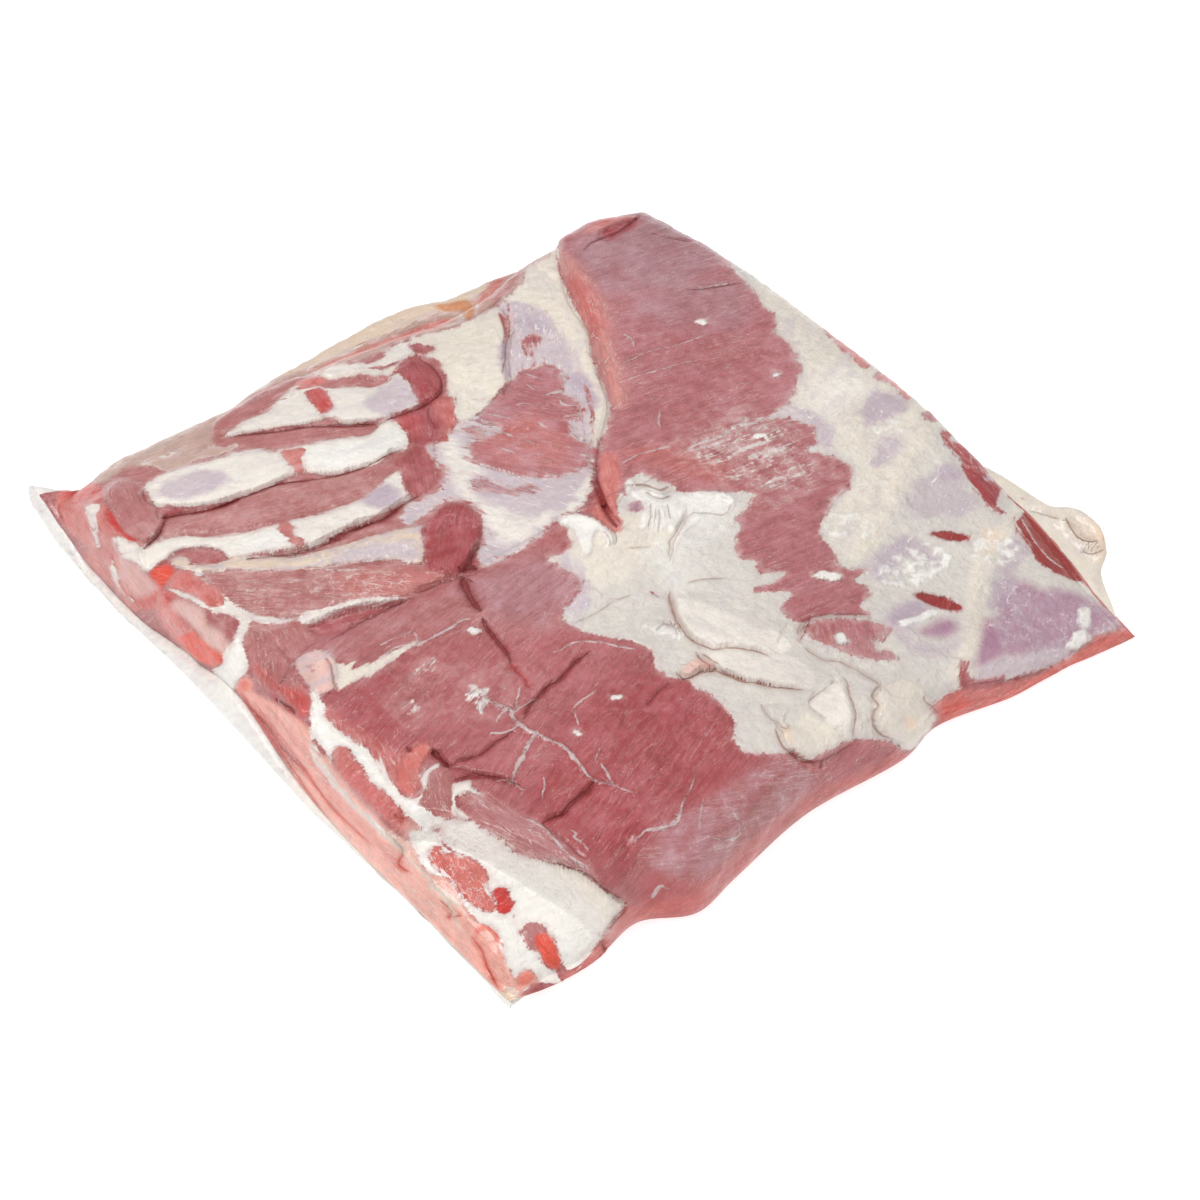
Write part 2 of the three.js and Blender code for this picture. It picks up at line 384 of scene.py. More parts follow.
@dataclass(frozen=True)
class Lip:
    """An edge that stands up on the left of its line and fades away from it.

    Attributes:
        name: what it is.
        line: plan points along the edge.
        height: how high it stands.
        fade: run over which it sinks back.
        shade: strength of the painted shade in the crease under it, 0 to 1.
        sharp: run of its steep side.
    """

    name: str
    line: str
    height: float
    fade: float = 12.0
    shade: float = 0.5
    sharp: float = 1.0


@dataclass(frozen=True)
class Stroke:
    """A narrow crease, ridge or vein along a line.

    Attributes:
        name: what it is.
        line: plan points along it.
        half: half its width.
        height: how far it stands out, or sinks in when negative.
        shade: strength of the painted shade along it, 0 to 1.
        tissue: what it is made of, if that differs from its surroundings.
        tint: its colour, if it has one.
    """

    name: str
    line: str
    half: float
    height: float = 0.0
    shade: float = 0.0
    tissue: Tissue | None = None
    tint: Tint | None = None


@dataclass(frozen=True)
class Crumbs:
    """Crumbs and flakes of white fat.

    Attributes:
        name: what they are.
        outline: plan points around them, or the two ends of a single crumb.
        size: half the width of a large one.
        height: how far they stand out.
        fill: how much of the outline they fill, from about 0.1 to 0.8.
        seed: seed of their shapes.
    """

    name: str
    outline: str
    size: float
    height: float
    fill: float = 0.5
    seed: int = 1


def lean(name: str, tint: Tint, outline: str, **form: float) -> Region:
    """A patch of meat."""
    return Region(name, Tissue.LEAN, tint, outline, **form)


def fat(name: str, tint: Tint, outline: str, **form: float) -> Region:
    """A patch of fat."""
    return Region(name, Tissue.FAT, tint, outline, **form)


def lean_wash(name: str, tint: Tint, outline: str, **form: float) -> Region:
    """A colour laid over the meat alone."""
    return lean(name, tint, outline, paint_only=True, **form)


def fat_wash(name: str, tint: Tint, outline: str, **form: float) -> Region:
    """A colour laid over the fat alone."""
    return fat(name, tint, outline, paint_only=True, **form)


def slit(name: str, line: str, half: float, height: float, shade: float) -> Stroke:
    """A cut or deep crease in the meat, tinted Tint.BLOOD at its bottom and darkened along it by painted
    shade.
    """
    return Stroke(name, line, half, height, shade, Tissue.LEAN, Tint.BLOOD)


def thread(name: str, line: str, half: float, height: float, tint: Tint | None = None) -> Stroke:
    """A pale vein or thread of fat that stands out."""
    return Stroke(name, line, half, height, 0.0, Tissue.FAT, tint)


# Bare meat, without streaks or film.
RAW = {"marble": 0.1, "veil": 0.0}

# Drawn from the left cut side round to the flank; later entries lie over earlier ones.
REGIONS: tuple[Region, ...] = (
    # --- grounds
    lean("rib ground", Tint.MAUVE, "-150,162 -80,160 -25,160 -18,120 -20,80 -30,55 -60,6 -125,6 -160,25 "
        "-172,60 -176,110 -170,150", soft=4, grain=-18, marble=0.25),
    lean("long muscle ground", Tint.ROSE, "120,230 105,150 80,90 20,-12 60,-130 110,-90 240,20 240,230",
        soft=4, grain=-10, marble=0.3),
    # --- fat sheets over the middle, the flank and the right edge
    fat("flank and middle fat", Tint.GREYISH, "-22,-8 -19,-22 -20,-31 -28,-36 -36,-39 -41,-43 -38,-51 "
        "-37,-57 -30,-65 -24,-74 -22,-80 -27,-88 -27,-96 -22,-103 -21,-112 -20,-120 -21,-130 -27,-138 "
        "-30,-146 -27,-154 -20,-157 -16,-161 -14,-168 -4,-168 4,-168 11,-171 15,-178 21,-186 30,-186 "
        "38,-181 46,-177 52,-172 62,-173 72,-177 85,-183 100,-186 125,-186 143,-190 150,-230 240,-230 "
        "240,60 200,120 184,125 176,105 150,90 110,40 60,15 40,12 20,0 14,-12 10,-2 4,8 -4,10 -4,2 -8,-8 "
        "-15,-11", rise=0.3, shoulder=2.5, ragged=1.8, grain=35, torn=0.35, veil=0.3),
    fat("streaky fat by the ribs", Tint.LILAC, "-20,86 -9,82 -5,88 4,90 14,88 14,76 8,72 -2,74 -8,66 -4,56 "
        "4,48 12,38 20,31 34,36 37,31 28,24 20,17 12,10 4,8 -5,10 -14,4 -30,2 -46,4 -44,11 -36,18 -29,27 "
        "-26,36 -28,45 -35,48 -44,46 -56,46 -50,56 -38,55 -28,58 -22,66", rise=0.4, soft=2.5, ragged=3.2,
        grain=118, marble=1.0, torn=0.8, veil=0.9),
    fat("cream fat beside the ribs", Tint.CREAM, "-26,160 -10,152 -2,144 6,143 14,147 19,152 27,158 40,154 "
        "52,151 66,152 69,147 63,138 58,130 48,118 38,102 27,95 14,90 6,88 3,95 10,108 17,120 21,134 16,143 "
        "8,143 -6,136 -14,146 -26,152", rise=1.4, shoulder=2.5, dome=0.8, grain=60),
    fat("mottled fat by the long muscle", Tint.LILAC, "49,124 58,129 66,141 70,150 82,158 88,140 82,120 "
        "78,104 73,90 62,74 52,58 44,46 36,37 33,42 37,52 40,60 48,68 53,74 50,80 58,86 63,94 58,102 48,104 "
        "38,102", soft=2.5, ragged=2.5, grain=60, marble=1.0, torn=0.85, veil=1.0),
    fat("band along the long muscle", Tint.CREAM, "122,176 112,162 104,145 98,130 93,114 84,98 75,82 69,68 "
        "62,56 50,43 36,31 34,35 44,46 54,58 61,70 66,84 74,98 80,118 84,134 80,148 74,154 84,166 98,172",
        rise=0.3, soft=3, grain=65, torn=0.3, veil=0.5),
    fat("thin seam behind the middle", Tint.BONE,
        "-13,7 -4,12 6,9 18,14 28,22 26,25 14,18 5,13 -4,16 -12,12", ragged=1.5),
    # --- long muscle and its lower tongue
    lean("long muscle", Tint.ROSE, "122,176 112,161 106,148 103,138 97,129 95,120 91,111 82,95 75,82 70,70 "
        "66,62 60,53 45,40 35,31 28,22 23,12 18,3 15,-12 18,-7 22,2 28,6 33,4 38,12 43,14 46,9 48,3 51,-4 "
        "50,-8 58,-14 63,-19 71,-24 75,-28 70,-33 58,-38 57,-42 50,-47 45,-54 44,-60 47,-64 43,-68 44,-72 "
        "52,-76 45,-79 34,-77 38,-82 44,-86 45,-90 36,-92 34,-97 36,-104 46,-107 58,-115 62,-119 63,-111 "
        "70,-109 73,-104 71,-98 80,-96 74,-91 73,-85 77,-79 78,-71 82,-64 90,-59 99,-53 108,-51 116,-47 "
        "120,-41 120,-32 116,-25 112,-20 120,-18 125,-11 125,-3 119,8 127,10 134,14 141,20 150,26 154,34 "
        "158,43 159,53 163,60 168,66 169,76 173,86 175,96 177,108 181,125 240,160 240,240 140,240",
        rise=0.35, ragged=1.6, grain=-8, marble=0.35, torn=0.3, veil=0.45),
    lean_wash("long muscle, mauve end", Tint.PLUM, "128,170 120,150 118,130 128,122 150,112 178,118 200,150 "
        "190,185 150,175", soft=9, grain=-8, veil=0.7),
    lean_wash("long muscle, pale middle", Tint.PLUM, "120,110 140,70 165,80 172,100 150,112", soft=9,
        strength=0.8, grain=-8, veil=0.65),
    lean_wash("long muscle, coral edge", Tint.STREAKY, "119,172 106,148 96,126 84,98 73,76 64,58 72,56 "
        "84,76 96,98 108,118 116,138 122,160", soft=4, strength=0.36, grain=62, marble=1.0, veil=0.0),
    lean_wash("long muscle, bright spots", Tint.BRIGHT, "108,152 102,136 96,120 88,104 94,104 104,118 "
        "112,138 113,150", soft=4, strength=0.4, grain=62),
    lean_wash("long muscle, orange root", Tint.CORAL, "44,28 52,14 58,-4 68,-16 78,-6 74,10 60,26", soft=7,
        strength=0.6),
    lean_wash("long muscle, warm middle", Tint.DUSTY, "100,60 120,90 140,95 150,60 140,40 110,25 80,30",
        soft=12, strength=0.2, grain=-8),
    lean("orange foot of the long muscle", Tint.SALMON,
        "12,-14 9,-4 14,6 22,12 30,22 40,33 44,28 34,12 24,2 17,-11", soft=2, ragged=0.8, grain=60),
    fat("frosted corner by the flank", Tint.LILAC, "110,11 118,8 127,10 134,8 133,-10 128,-20 120,-19 "
        "125,-12 125,-3 118,4", soft=3, ragged=2.5, torn=0.7),
    lean_wash("dark notch", Tint.DEEP, "142,168 147,172 158,173 168,170 164,165 152,164 145,163", rise=-1.5,
        soft=3, grain=0),
    lean_wash("notch rim", Tint.SALMON, "140,176 150,180 160,178 168,171 160,174 148,174", soft=3),
    # --- triangular muscle
    lean("triangular muscle", Tint.ROSE, "44,101 48,103 53,101 62,100 61,95 58,93 61,88 56,83 52,78 55,71 "
        "50,63 46,59 42,60 38,47 40,44 36,34 29,32 25,30 16,32 8,36 3,41 0,47 -3,53 -7,60 -6,68 -4,74 3,74 "
        "10,74 15,66 19,69 25,66 17,74 13,81 11,86 19,91 26,93 30,96 36,101", rise=0.9, dome=1.2, soft=2,
        grain=125, marble=0.4, torn=0.35, veil=0.7),
    lean_wash("triangular muscle, coral", Tint.CORAL, "0,70 20,78 34,72 34,50 20,38 4,52", soft=7,
        strength=0.7),
    lean("small muscle in the mottled fat", Tint.DUSTY,
        "61,124 66,123 71,121 71,117 66,117 60,112 57,113 58,119"),
    lean("lean bit left of the triangle", Tint.MAUVE, "2,86 6,83 9,77 6,75 2,80", ragged=1.0),
    fat_wash("cream round the lilac", Tint.BONE, "-11,85 -5,82 -8,68 -9,55 -17,54 -21,41 -17,28 -13,19 "
        "-6,14 -2,14 -11,11 -21,6 -32,11 -28,28 -26,40 -23,58", soft=4, ragged=2.5, veil=0.2),
    fat_wash("lilac spots, upper", Tint.DEEP_LILAC, "69,139 76,135 79,128 77,120 72,122 70,130 67,135",
        soft=2, ragged=2.5, torn=0.5),
    fat_wash("lilac spots, lower", Tint.DEEP_LILAC, "61,85 70,88 67,76 61,62 53,61 59,74 56,78", soft=2.5,
        ragged=2.5, torn=0.5),
    fat_wash("pink touch in the cream", Tint.PALE_PINK, "67,146 70,142 66,136 62,133 64,140", soft=1.2),
    lean("muscle spots by the ribs", Tint.PLUM, "-17,54 -13,52 -8,43 -5,33 -8,32 -12,38 -17,45 -19,50",
        ragged=1.5, grain=118, marble=0.9, torn=0.5),
    lean("small muscle, upper", Tint.PLUM, "-2,37 2,34 4,30 -1,30 -4,35", ragged=1.5),
    lean("mauve spot by the curls", Tint.PURPLE, "24,-4 30,-1 34,-5 29,-8"),
    # --- back edge
    lean("back edge ground", Tint.BROWNISH, "-150,240 -150,157 -130,152 -118,145 -100,142 -86,148 -72,152 "
        "-50,151 -36,158 -20,160 0,155 18,157 28,154 50,150 66,152 76,156 92,162 100,172 118,176 126,240",
        soft=2.5, ragged=2.5, grain=0, marble=0.9, torn=0.7),
    lean("back edge pink muscle", Tint.MAUVE, "-90,146 -84,156 -68,161 -52,165 -38,163 -28,157 -38,153 "
        "-58,151 -76,149", rise=1.2, dome=0.8, grain=8, marble=0.3),
    fat("back edge rind", Tint.TAN, "-150,240 -140,162 -118,162 -92,163 -60,167 -34,166 -10,165 10,165 "
        "30,165 45,165 54,162 66,163 80,168 92,176 110,178 118,240", ragged=1.4, grain=0),
    fat_wash("back edge rind, pale", Tint.TAN, "18,176 24,172 36,170 44,171 44,180 30,240 16,240", soft=3),
    lean("back edge pink line", Tint.SALMON, "-30,164 -14,163 8,162 24,161 40,160 46,156 36,155 20,158 "
        "0,160 -20,161", ragged=1.4, grain=0),
    lean("back edge pink band", Tint.SALMON, "62,157 72,160 84,166 96,173 112,176 118,179 96,178 82,172 "
        "68,164 60,160", soft=2.5, ragged=1.4, strength=0.75, grain=25),
    lean("back edge dark pink line", Tint.MAUVE, "70,156 80,158 92,166 104,171 98,172 86,165 74,160",
        ragged=0.8),
    fat("ochre spot", Tint.OCHRE, "46,171 52,168 60,166 62,160 56,152 51,151 52,158 47,163", soft=1.0,
        ragged=0.5, veil=0.0),
    # --- rib strips and the fingers of muscle between them
    fat("white wisps above the first strip", Tint.BONE, "-24,160 -12,158 -2,150 6,153 14,156 20,152 16,146 "
        "6,145 -2,146 -14,152 -24,155", rise=0.6, ragged=1.6),
    lean("muscle above the first strip", Tint.MAUVE, "-22,150 -12,146 -4,140 2,136 -6,132 -12,136 -18,142",
        ragged=1.4, marble=0.7),
    lean("muscle beside the curls", Tint.DUSTY, "19,152 24,148 26,142 20,141 17,146"),
    lean("muscle knob", Tint.MAUVE, "17,140 22,137 23,131 18,128 17,134", ragged=0.8),
    lean("deep red pad, back", Tint.DEEP, "3,138 10,141 16,140 17,130 16,122 11,115 7,112 1,111 -2,114 "
        "0,124", rise=1.6, dome=1.4, soft=1, ragged=0.6, grain=75, marble=0.1),
    fat("rib strip 1", Tint.BONE, "-84,147 -74,149 -60,150 -48,154 -41,156 -34,152 -28,146 -20,141 -13,135 "
        "-8,134 2,137 1,126 -4,112 -12,111 -18,112 -25,115 -32,117 -38,121 -40,128 -48,130 -56,133 -66,138 "
        "-76,141 -84,143", rise=1.7, shoulder=2.2, dome=0.9, soft=1, grain=-15),
    fat_wash("strip 1 lilac end", Tint.LILAC, "-22,128 -10,132 1,134 -2,116 -14,112 -22,116", soft=2.5,
        ragged=3, marble=0.9, veil=0.8),
    lean("strip 1 red cap", Tint.SALMON, "-41,156 -38,159 -30,158 -26,153 -31,151 -38,153", rise=0.6,
        soft=1.2, ragged=0.6),
    lean("strip 1 red bar", Tint.BRIGHT, "-40,150 -31,149 -33,140 -36,133 -43,134 -41,142", rise=-0.2,
        soft=1.2, ragged=1.0, strength=0.85, grain=80, marble=0.4),
    fat("rib strip 2", Tint.BONE, "-137,133 -130,137 -120,139 -108,137 -95,134 -82,132 -74,123 -68,121 "
        "-60,118 -50,115 -42,111 -35,107 -30,108 -24,112 -20,110 -19,101 -23,92 -28,88 -34,90 -42,87 -55,91 "
        "-65,95 -70,101 -78,104 -90,104 -108,106 -120,111 -130,117 -134,121 -138,127", rise=1.9,
        shoulder=2.2, dome=1.1, soft=1, ragged=1.0, grain=-15),
    fat_wash("strip 2 bright end", Tint.WHITE, "-66,114 -50,110 -36,103 -24,107 -22,96 -40,92 -60,96",
        soft=4),
    fat_wash("strip 2 lilac", Tint.LILAC, "-130,130 -116,133 -102,128 -100,118 -112,115 -126,121", soft=2.5,
        ragged=3, marble=0.9, veil=0.8),
    lean("strip 2 pink band", Tint.SALMON, "-72,121 -64,119 -62,116 -68,110 -70,104 -74,102 -74,110",
        strength=0.9, marble=0.5),
    lean("red tip under strip 2", Tint.DEEP, "-133,116 -130,121 -128,116 -124,113 -134,111", ragged=0.8),
    lean("finger 2", Tint.MAUVE, "-142,106 -134,109 -122,108 -112,104 -98,102 -84,102 -76,99 -66,94 -54,90 "
        "-42,86 -34,84 -36,78 -50,74 -64,73 -78,76 -92,79 -106,83 -118,88 -127,94 -134,100", rise=0.8,
        dome=1.0, ragged=1.0, grain=-12, marble=0.3),
    lean("finger 1", Tint.MAUVE, "-86,143 -72,140 -58,133 -48,128 -40,122 -30,113 -34,108 -42,112 -56,118 "
        "-66,122 -76,128 -88,133", rise=0.4, dome=0.7, ragged=1.0, grain=-22, marble=0.25),
    fat("pale membrane behind strip 2", Tint.BROWNISH, "-122,150 -106,146 -92,141 -84,136 -92,135 -104,138 "
        "-118,140", soft=2, ragged=3.2),
    fat("rib strip 3", Tint.BONE, "-158,99 -148,101 -137,98 -128,91 -118,85 -105,81 -94,78 -84,75 -70,72 "
        "-56,73 -47,76 -38,78 -40,70 -43,62 -50,60 -62,58 -76,59 -90,57 -97,58 -105,63 -114,67 -124,71 "
        "-128,74 -128,80 -134,87 -142,90 -150,88 -160,86", rise=1.7, dome=1.0, soft=1, ragged=1.0, grain=-15),
    fat_wash("strip 3 bright part", Tint.WHITE, "-118,80 -104,77 -96,68 -108,68 -118,73", soft=4),
    fat_wash("strip 3 lilac", Tint.DEEP_LILAC, "-62,73 -54,74 -46,73 -48,62 -58,61 -62,66", soft=2.5,
        ragged=1.5, marble=0.9, veil=0.8),
    lean("strip 3 pink band", Tint.SALMON, "-100,79 -94,78 -97,70 -97,61 -101,62 -101,70", soft=2,
        ragged=1.6, strength=0.6, marble=0.6),
    lean("small muscle between strips", Tint.DEEP, "-158,86 -148,89 -140,89 -133,84 -129,76 -134,73 -140,74 "
        "-146,80 -154,78 -160,78", ragged=0.8, strength=0.8, grain=-60),
    fat("rib strip 4", Tint.TAN, "-149,84 -146,87 -142,85 -141,78 -136,73 -126,72 -116,66 -106,58 -94,53 "
        "-80,50 -66,47 -52,41 -55,33 -60,24 -65,20 -72,28 -84,37 -96,43 -106,47 -116,54 -126,62 -134,68 "
        "-142,71 -146,78", rise=1.5, shoulder=2.2, dome=0.6, grain=-28, veil=1.0),
    fat_wash("strip 4 lilac", Tint.LILAC, "-92,47 -76,44 -62,36 -64,24 -76,32 -90,41", soft=3, ragged=2),
    fat("left thin fat by finger 3", Tint.BONE, "-145,74 -141,74 -141,56 -138,42 -130,30 -124,25 -130,24 "
        "-138,30 -144,42 -147,52 -145,62", rise=0.3, ragged=0.8),
    lean("finger 3", Tint.MAUVE, "-142,70 -134,67 -124,60 -112,52 -100,44 -86,35 -74,27 -65,19 -61,12 -62,7 "
        "-72,7 -82,8 -90,13 -100,19 -112,22 -125,24 -133,30 -140,42", rise=1.2, dome=1.2, grain=-38,
        marble=0.9, torn=0.4),
    lean_wash("finger 3, warm foot", Tint.CORAL, "-100,36 -84,30 -66,16 -64,8 -84,10 -100,20", soft=5,
        strength=0.6, marble=0.8),
    fat("white seam under finger 3", Tint.BONE, "-126,24 -114,22 -102,19 -92,14 -84,8 -82,5 -90,9 -100,14 "
        "-112,17 -122,17", rise=0.8, ragged=0.8),
    # Painted shade: deep red where the shadow falls in the recess below the white seam.
    lean("recess with painted shade under the seam", Tint.DEEP, "-124,17 -112,16 -100,13 -90,8 -84,5 -104,4 -120,5 -125,10",
        rise=-2.4, shoulder=2.5, ragged=0.8, strength=0.8, marble=0.7, torn=0.5),
    lean("deep red pad", Tint.DEEP, "-52,40 -44,43 -36,46 -30,44 -27,37 -29,28 -34,21 -42,15 -50,10 -58,5 "
        "-62,11 -65,19 -58,30", rise=1.8, dome=1.6, soft=1, ragged=0.6, grain=50, marble=0.12),
    lean("red band at the strips' ends", Tint.DEEP, "-20,113 -10,112 0,112 8,110 12,106 6,98 3,92 -4,86 "
        "-14,84 -19,78 -22,70 -28,62 -38,58 -44,60 -42,68 -37,78 -36,84 -28,87 -22,93 -19,102", rise=0.9,
        dome=0.8, soft=1.2, ragged=1.0, strength=0.7, grain=65, marble=0.2),
    lean_wash("bright end of the red band", Tint.SALMON, "2,110 12,107 8,98 0,88 -12,83 -18,74 -24,62 "
        "-18,66 -8,82 -2,96", soft=3, strength=0.7),
    lean_wash("bright start of the red band", Tint.BRIGHT, "-20,112 -8,110 -10,100 -18,94 -22,96", soft=4,
        strength=0.35),
    # --- left corner and the cut side, back to front
    lean("left corner lean", Tint.SALMON, "-167,150 -161,157 -154,156 -147,148 -152,138 -156,140 -159,140 "
        "-161,133 -164,124 -169,113 -171,115 -172,122 -172,132 -170,142", dome=0.5, ragged=0.8, grain=80,
        marble=0.3),
    lean_wash("left corner lean, deep back", Tint.BRIGHT, "-162,151 -154,156 -147,148 -152,141 -158,144",
        soft=4, strength=0.7, grain=30, **RAW),
    lean("rounded mauve muscle", Tint.MAUVE, "-147,144 -149,135 -152,127 -154,114 -152,106 -149,102 "
        "-144,104 -137,108 -135,112 -135,119 -134,127 -132,136 -135,146 -142,147", rise=1.8, dome=2.2,
        ragged=0.6, grain=80, marble=0.35),
    lean("red side of the rounded muscle", Tint.CORAL, "-154,137 -152,133 -154,122 -155,112 -152,106 "
        "-153,101 -155,105 -156,111 -159,113 -164,105 -165,111 -167,112 -162,125", ragged=0.8, grain=80,
        marble=0.4),
    lean_wash("red edge of it", Tint.BRIGHT, "-152,134 -152,126 -154,114 -152,106 -155,109 -156,114 "
        "-156,121 -155,128", soft=1.2, **RAW),
    fat("white septum, back", Tint.BONE, "-158,140 -153,138 -155,134 -157,133 -160,128 -164,120 -167,112 "
        "-168,112 -167,116 -164,124 -162,131", rise=0.6, ragged=0.5),
    lean("pink flesh under the septum", Tint.CORAL, "-174,113 -171,114 -168,112 -163,107 -163,103 -161,95 "
        "-161,87 -161,80 -161,74 -165,69 -169,64 -173,67 -178,68 -177,74 -175,84 -177,91 -177,99 -176,106",
        ragged=0.7, grain=80, marble=0.3),
    lean_wash("pale lobe on the side", Tint.PALE_PINK, "-165,101 -162,99 -161,90 -161,80 -162,75 -167,73 "
        "-170,76 -170,84 -169,93", soft=3, strength=0.75, grain=80, veil=0.6),
    lean_wash("red foot of the lobe", Tint.BRIGHT, "-173,74 -167,72 -162,73 -163,70 -168,65 -173,68",
        soft=2.5, strength=0.6, **RAW),
    fat("white crescent", Tint.BONE, "-167,103 -167,102 -170,93 -173,83 -173,73 -174,75 -174,82 -173,90 "
        "-171,97", rise=0.6, soft=1, ragged=0.4),
    fat("cream lump", Tint.BONE, "-160,114 -157,114 -155,107 -153,105 -155,97 -160,86 -161,87 -160,92 "
        "-161,96 -163,99 -162,105", rise=1.6, dome=0.9, ragged=0.5),
    lean("orange bit", Tint.ORANGE, "-159,86 -154,86 -150,85 -150,80 -155,76 -160,74 -160,78", ragged=0.8,
        **RAW),
    lean("orange and coral lobe", Tint.SALMON, "-161,72 -162,63 -163,49 -163,41 -163,31 -161,24 -165,19 "
        "-167,18 -171,25 -173,33 -172,46 -171,56 -169,62", rise=0.8, dome=1.2, soft=2, ragged=0.6, grain=75,
        marble=0.35),
    lean_wash("bright end of the lobe", Tint.ORANGE, "-164,42 -163,34 -161,25 -165,19 -169,22 -171,32 "
        "-171,42 -167,43", soft=1.2, grain=75, marble=0.0, veil=0.0),
    lean_wash("bright root of the lobe", Tint.BRIGHT, "-161,72 -157,68 -159,61 -163,61 -163,65", soft=2.5,
        strength=0.6, **RAW),
    lean("pale pink muscle", Tint.PALE_PINK, "-159,63 -154,53 -156,44 -155,35 -156,25 -160,23 -163,31 "
        "-162,42 -162,51 -163,61", dome=0.6, soft=2, ragged=0.8, grain=70, marble=0.5, veil=0.7),
    lean("small dark muscle", Tint.DUSTY, "-153,49 -149,46 -145,38 -151,31 -154,29 -154,35 -155,43",
        dome=0.7, ragged=0.8, grain=70),
    fat("pale seam by the small muscles", Tint.BONE, "-158,72 -154,64 -151,58 -150,51 -144,49 -142,52 "
        "-142,43 -139,36 -144,31 -148,28 -153,28 -145,38 -149,46 -152,51 -155,62", rise=0.4, soft=1.2,
        ragged=0.8),
    lean("orange-pink muscle", Tint.SALMON, "-155,76 -149,78 -145,76 -144,68 -142,59 -142,53 -145,49 "
        "-150,51 -151,58 -153,65 -157,71", rise=0.9, dome=0.8, soft=2.5, ragged=0.6, grain=75),
    lean_wash("orange-pink muscle, core", Tint.BRIGHT, "-152,73 -147,69 -146,59 -149,56 -151,65", soft=4,
        strength=0.45),
    fat("white seam, middle of the side", Tint.WHITE, "-151,30 -147,29 -151,24 -154,17 -156,12 -160,8 "
        "-165,6 -171,1 -170,15 -168,18 -165,18 -161,23 -157,25", rise=0.3, ragged=0.7, torn=0.1, veil=0.0),
    lean("pink group", Tint.MAUVE, "-150,26 -146,28 -138,24 -131,20 -126,14 -128,10 -138,5 -142,7 -143,16 "
        "-149,19 -151,23", dome=0.9, ragged=1.0, grain=70, marble=0.6),
    lean("big front muscle", Tint.DUSTY, "-130,4 -110,5 -84,5 -62,3 -50,2 -32,0 -20,4 -6,0 -12,-9 -22,-9 "
        "-20,-22 -21,-31 -36,-40 -40,-50 -30,-66 -23,-80 -28,-92 -22,-110 -22,-130 -31,-146 -20,-158 "
        "-15,-168 0,-169 12,-172 20,-187 14,-240 -120,-240 -116,-184 -118,-164 -127,-148 -134,-134 "
        "-136,-120 -140,-104 -148,-92 -148,-70 -146,-40 -148,-30 -140,-20 -130,-18 -130,-6", rise=0.3,
        shoulder=2.5, ragged=1.0, grain=22, marble=0.12, torn=0.25, veil=0.2),
    lean_wash("front muscle, mauve back", Tint.MAUVE, "-128,2 -60,2 -20,0 -20,-26 -44,-46 -70,-30 -100,-12 "
        "-128,-10", soft=9, strength=0.7, grain=12, veil=0.6),
    lean_wash("front muscle, mauve middle", Tint.PLUM, "-56,-4 -24,-8 -24,-28 -46,-36 -58,-24", soft=8,
        strength=0.6, veil=0.7),
    lean_wash("front muscle, deep right", Tint.DEEP, "-70,-90 -30,-92 -22,-112 -24,-136 -44,-160 -80,-150 "
        "-92,-120", soft=12, strength=0.8),
    lean_wash("front muscle, deep left", Tint.DEEP, "-144,-34 -126,-26 -104,-24 -124,-44 -128,-70 -142,-62",
        soft=6, strength=0.75),
    lean_wash("front muscle, deep foot", Tint.DEEP,
        "-116,-130 -104,-112 -84,-108 -76,-130 -84,-160 -106,-164", soft=8, strength=0.9),
    lean_wash("front sheen", Tint.MAUVE, "-98,-168 -86,-162 -60,-160 -30,-158 -14,-160 -12,-172 -30,-180 "
        "-50,-184 -84,-188 -94,-180", soft=5, ragged=2, strength=0.5, grain=-30, marble=0.5, veil=0.9,
        frost=0.35),
    lean_wash("rolled front rim", Tint.SALMON, "-112,-188 -98,-192 -84,-191 -60,-186 -36,-182 -8,-180 "
        "12,-178 20,-186 20,-240 -112,-240", soft=3, strength=0.55, grain=5),
    lean_wash("bright front corner", Tint.BRIGHT, "-104,-178 -96,-176 -90,-188 -90,-200 -100,-202 -112,-196"
        , soft=4, strength=0.25),
    lean("red flesh under the flaps", Tint.DUSTY, "-16,-167 -4,-168 6,-169 12,-174 18,-184 4,-184 -12,-182 "
        "-18,-176", ragged=1.0, marble=0.6),
    lean("side muscle, back", Tint.MAUVE, "-151,21 -146,22 -141,16 -141,9 -143,3 -145,-2 -145,-9 -145,-17 "
        "-147,-21 -152,-27 -156,-26 -157,-24 -156,-16 -157,-9 -159,-3 -158,4 -155,11", rise=0.8, dome=1.0,
        ragged=0.7, grain=60, marble=0.5),
    lean_wash("side muscle, back, red side", Tint.BRIGHT, "-155,10 -156,3 -156,-4 -155,-13 -156,-24 "
        "-153,-28 -147,-21 -147,-14 -150,-10 -154,-4 -154,6", soft=4, strength=0.65, grain=60, **RAW),
    fat("cream mass at the left end", Tint.PALE_PINK, "-140,3 -134,4 -129,2 -127,-2 -128,-9 -136,-21 "
        "-140,-21 -143,-20 -144,-16 -143,-10 -142,-3", rise=1.2, dome=0.8, ragged=0.8, veil=0.7),
    fat_wash("warm side of the cream", Tint.BROWNISH, "-140,1 -136,1 -137,-7 -141,-15 -144,-15 -142,-6",
        soft=3, strength=0.6),
    lean("red spot in the cream", Tint.SALMON, "-138,-3 -136,-4 -137,-8 -139,-8", ragged=0.6, strength=0.8),
    fat("white tail of the cream", Tint.CREAM, "-128,-9 -125,-12 -121,-13 -125,-16 -116,-17 -107,-17 "
        "-94,-19 -104,-20 -114,-22 -124,-23 -130,-23 -136,-23", rise=0.5, ragged=0.8),
    lean_wash("marbled edge of the front muscle", Tint.SALMON, "-145,-26 -144,-38 -140,-52 -138,-67 "
        "-140,-75 -145,-79 -146,-89 -148,-82 -148,-71 -146,-60 -147,-48 -148,-36", soft=4, strength=0.55,
        grain=70, marble=1.0, torn=0.6),
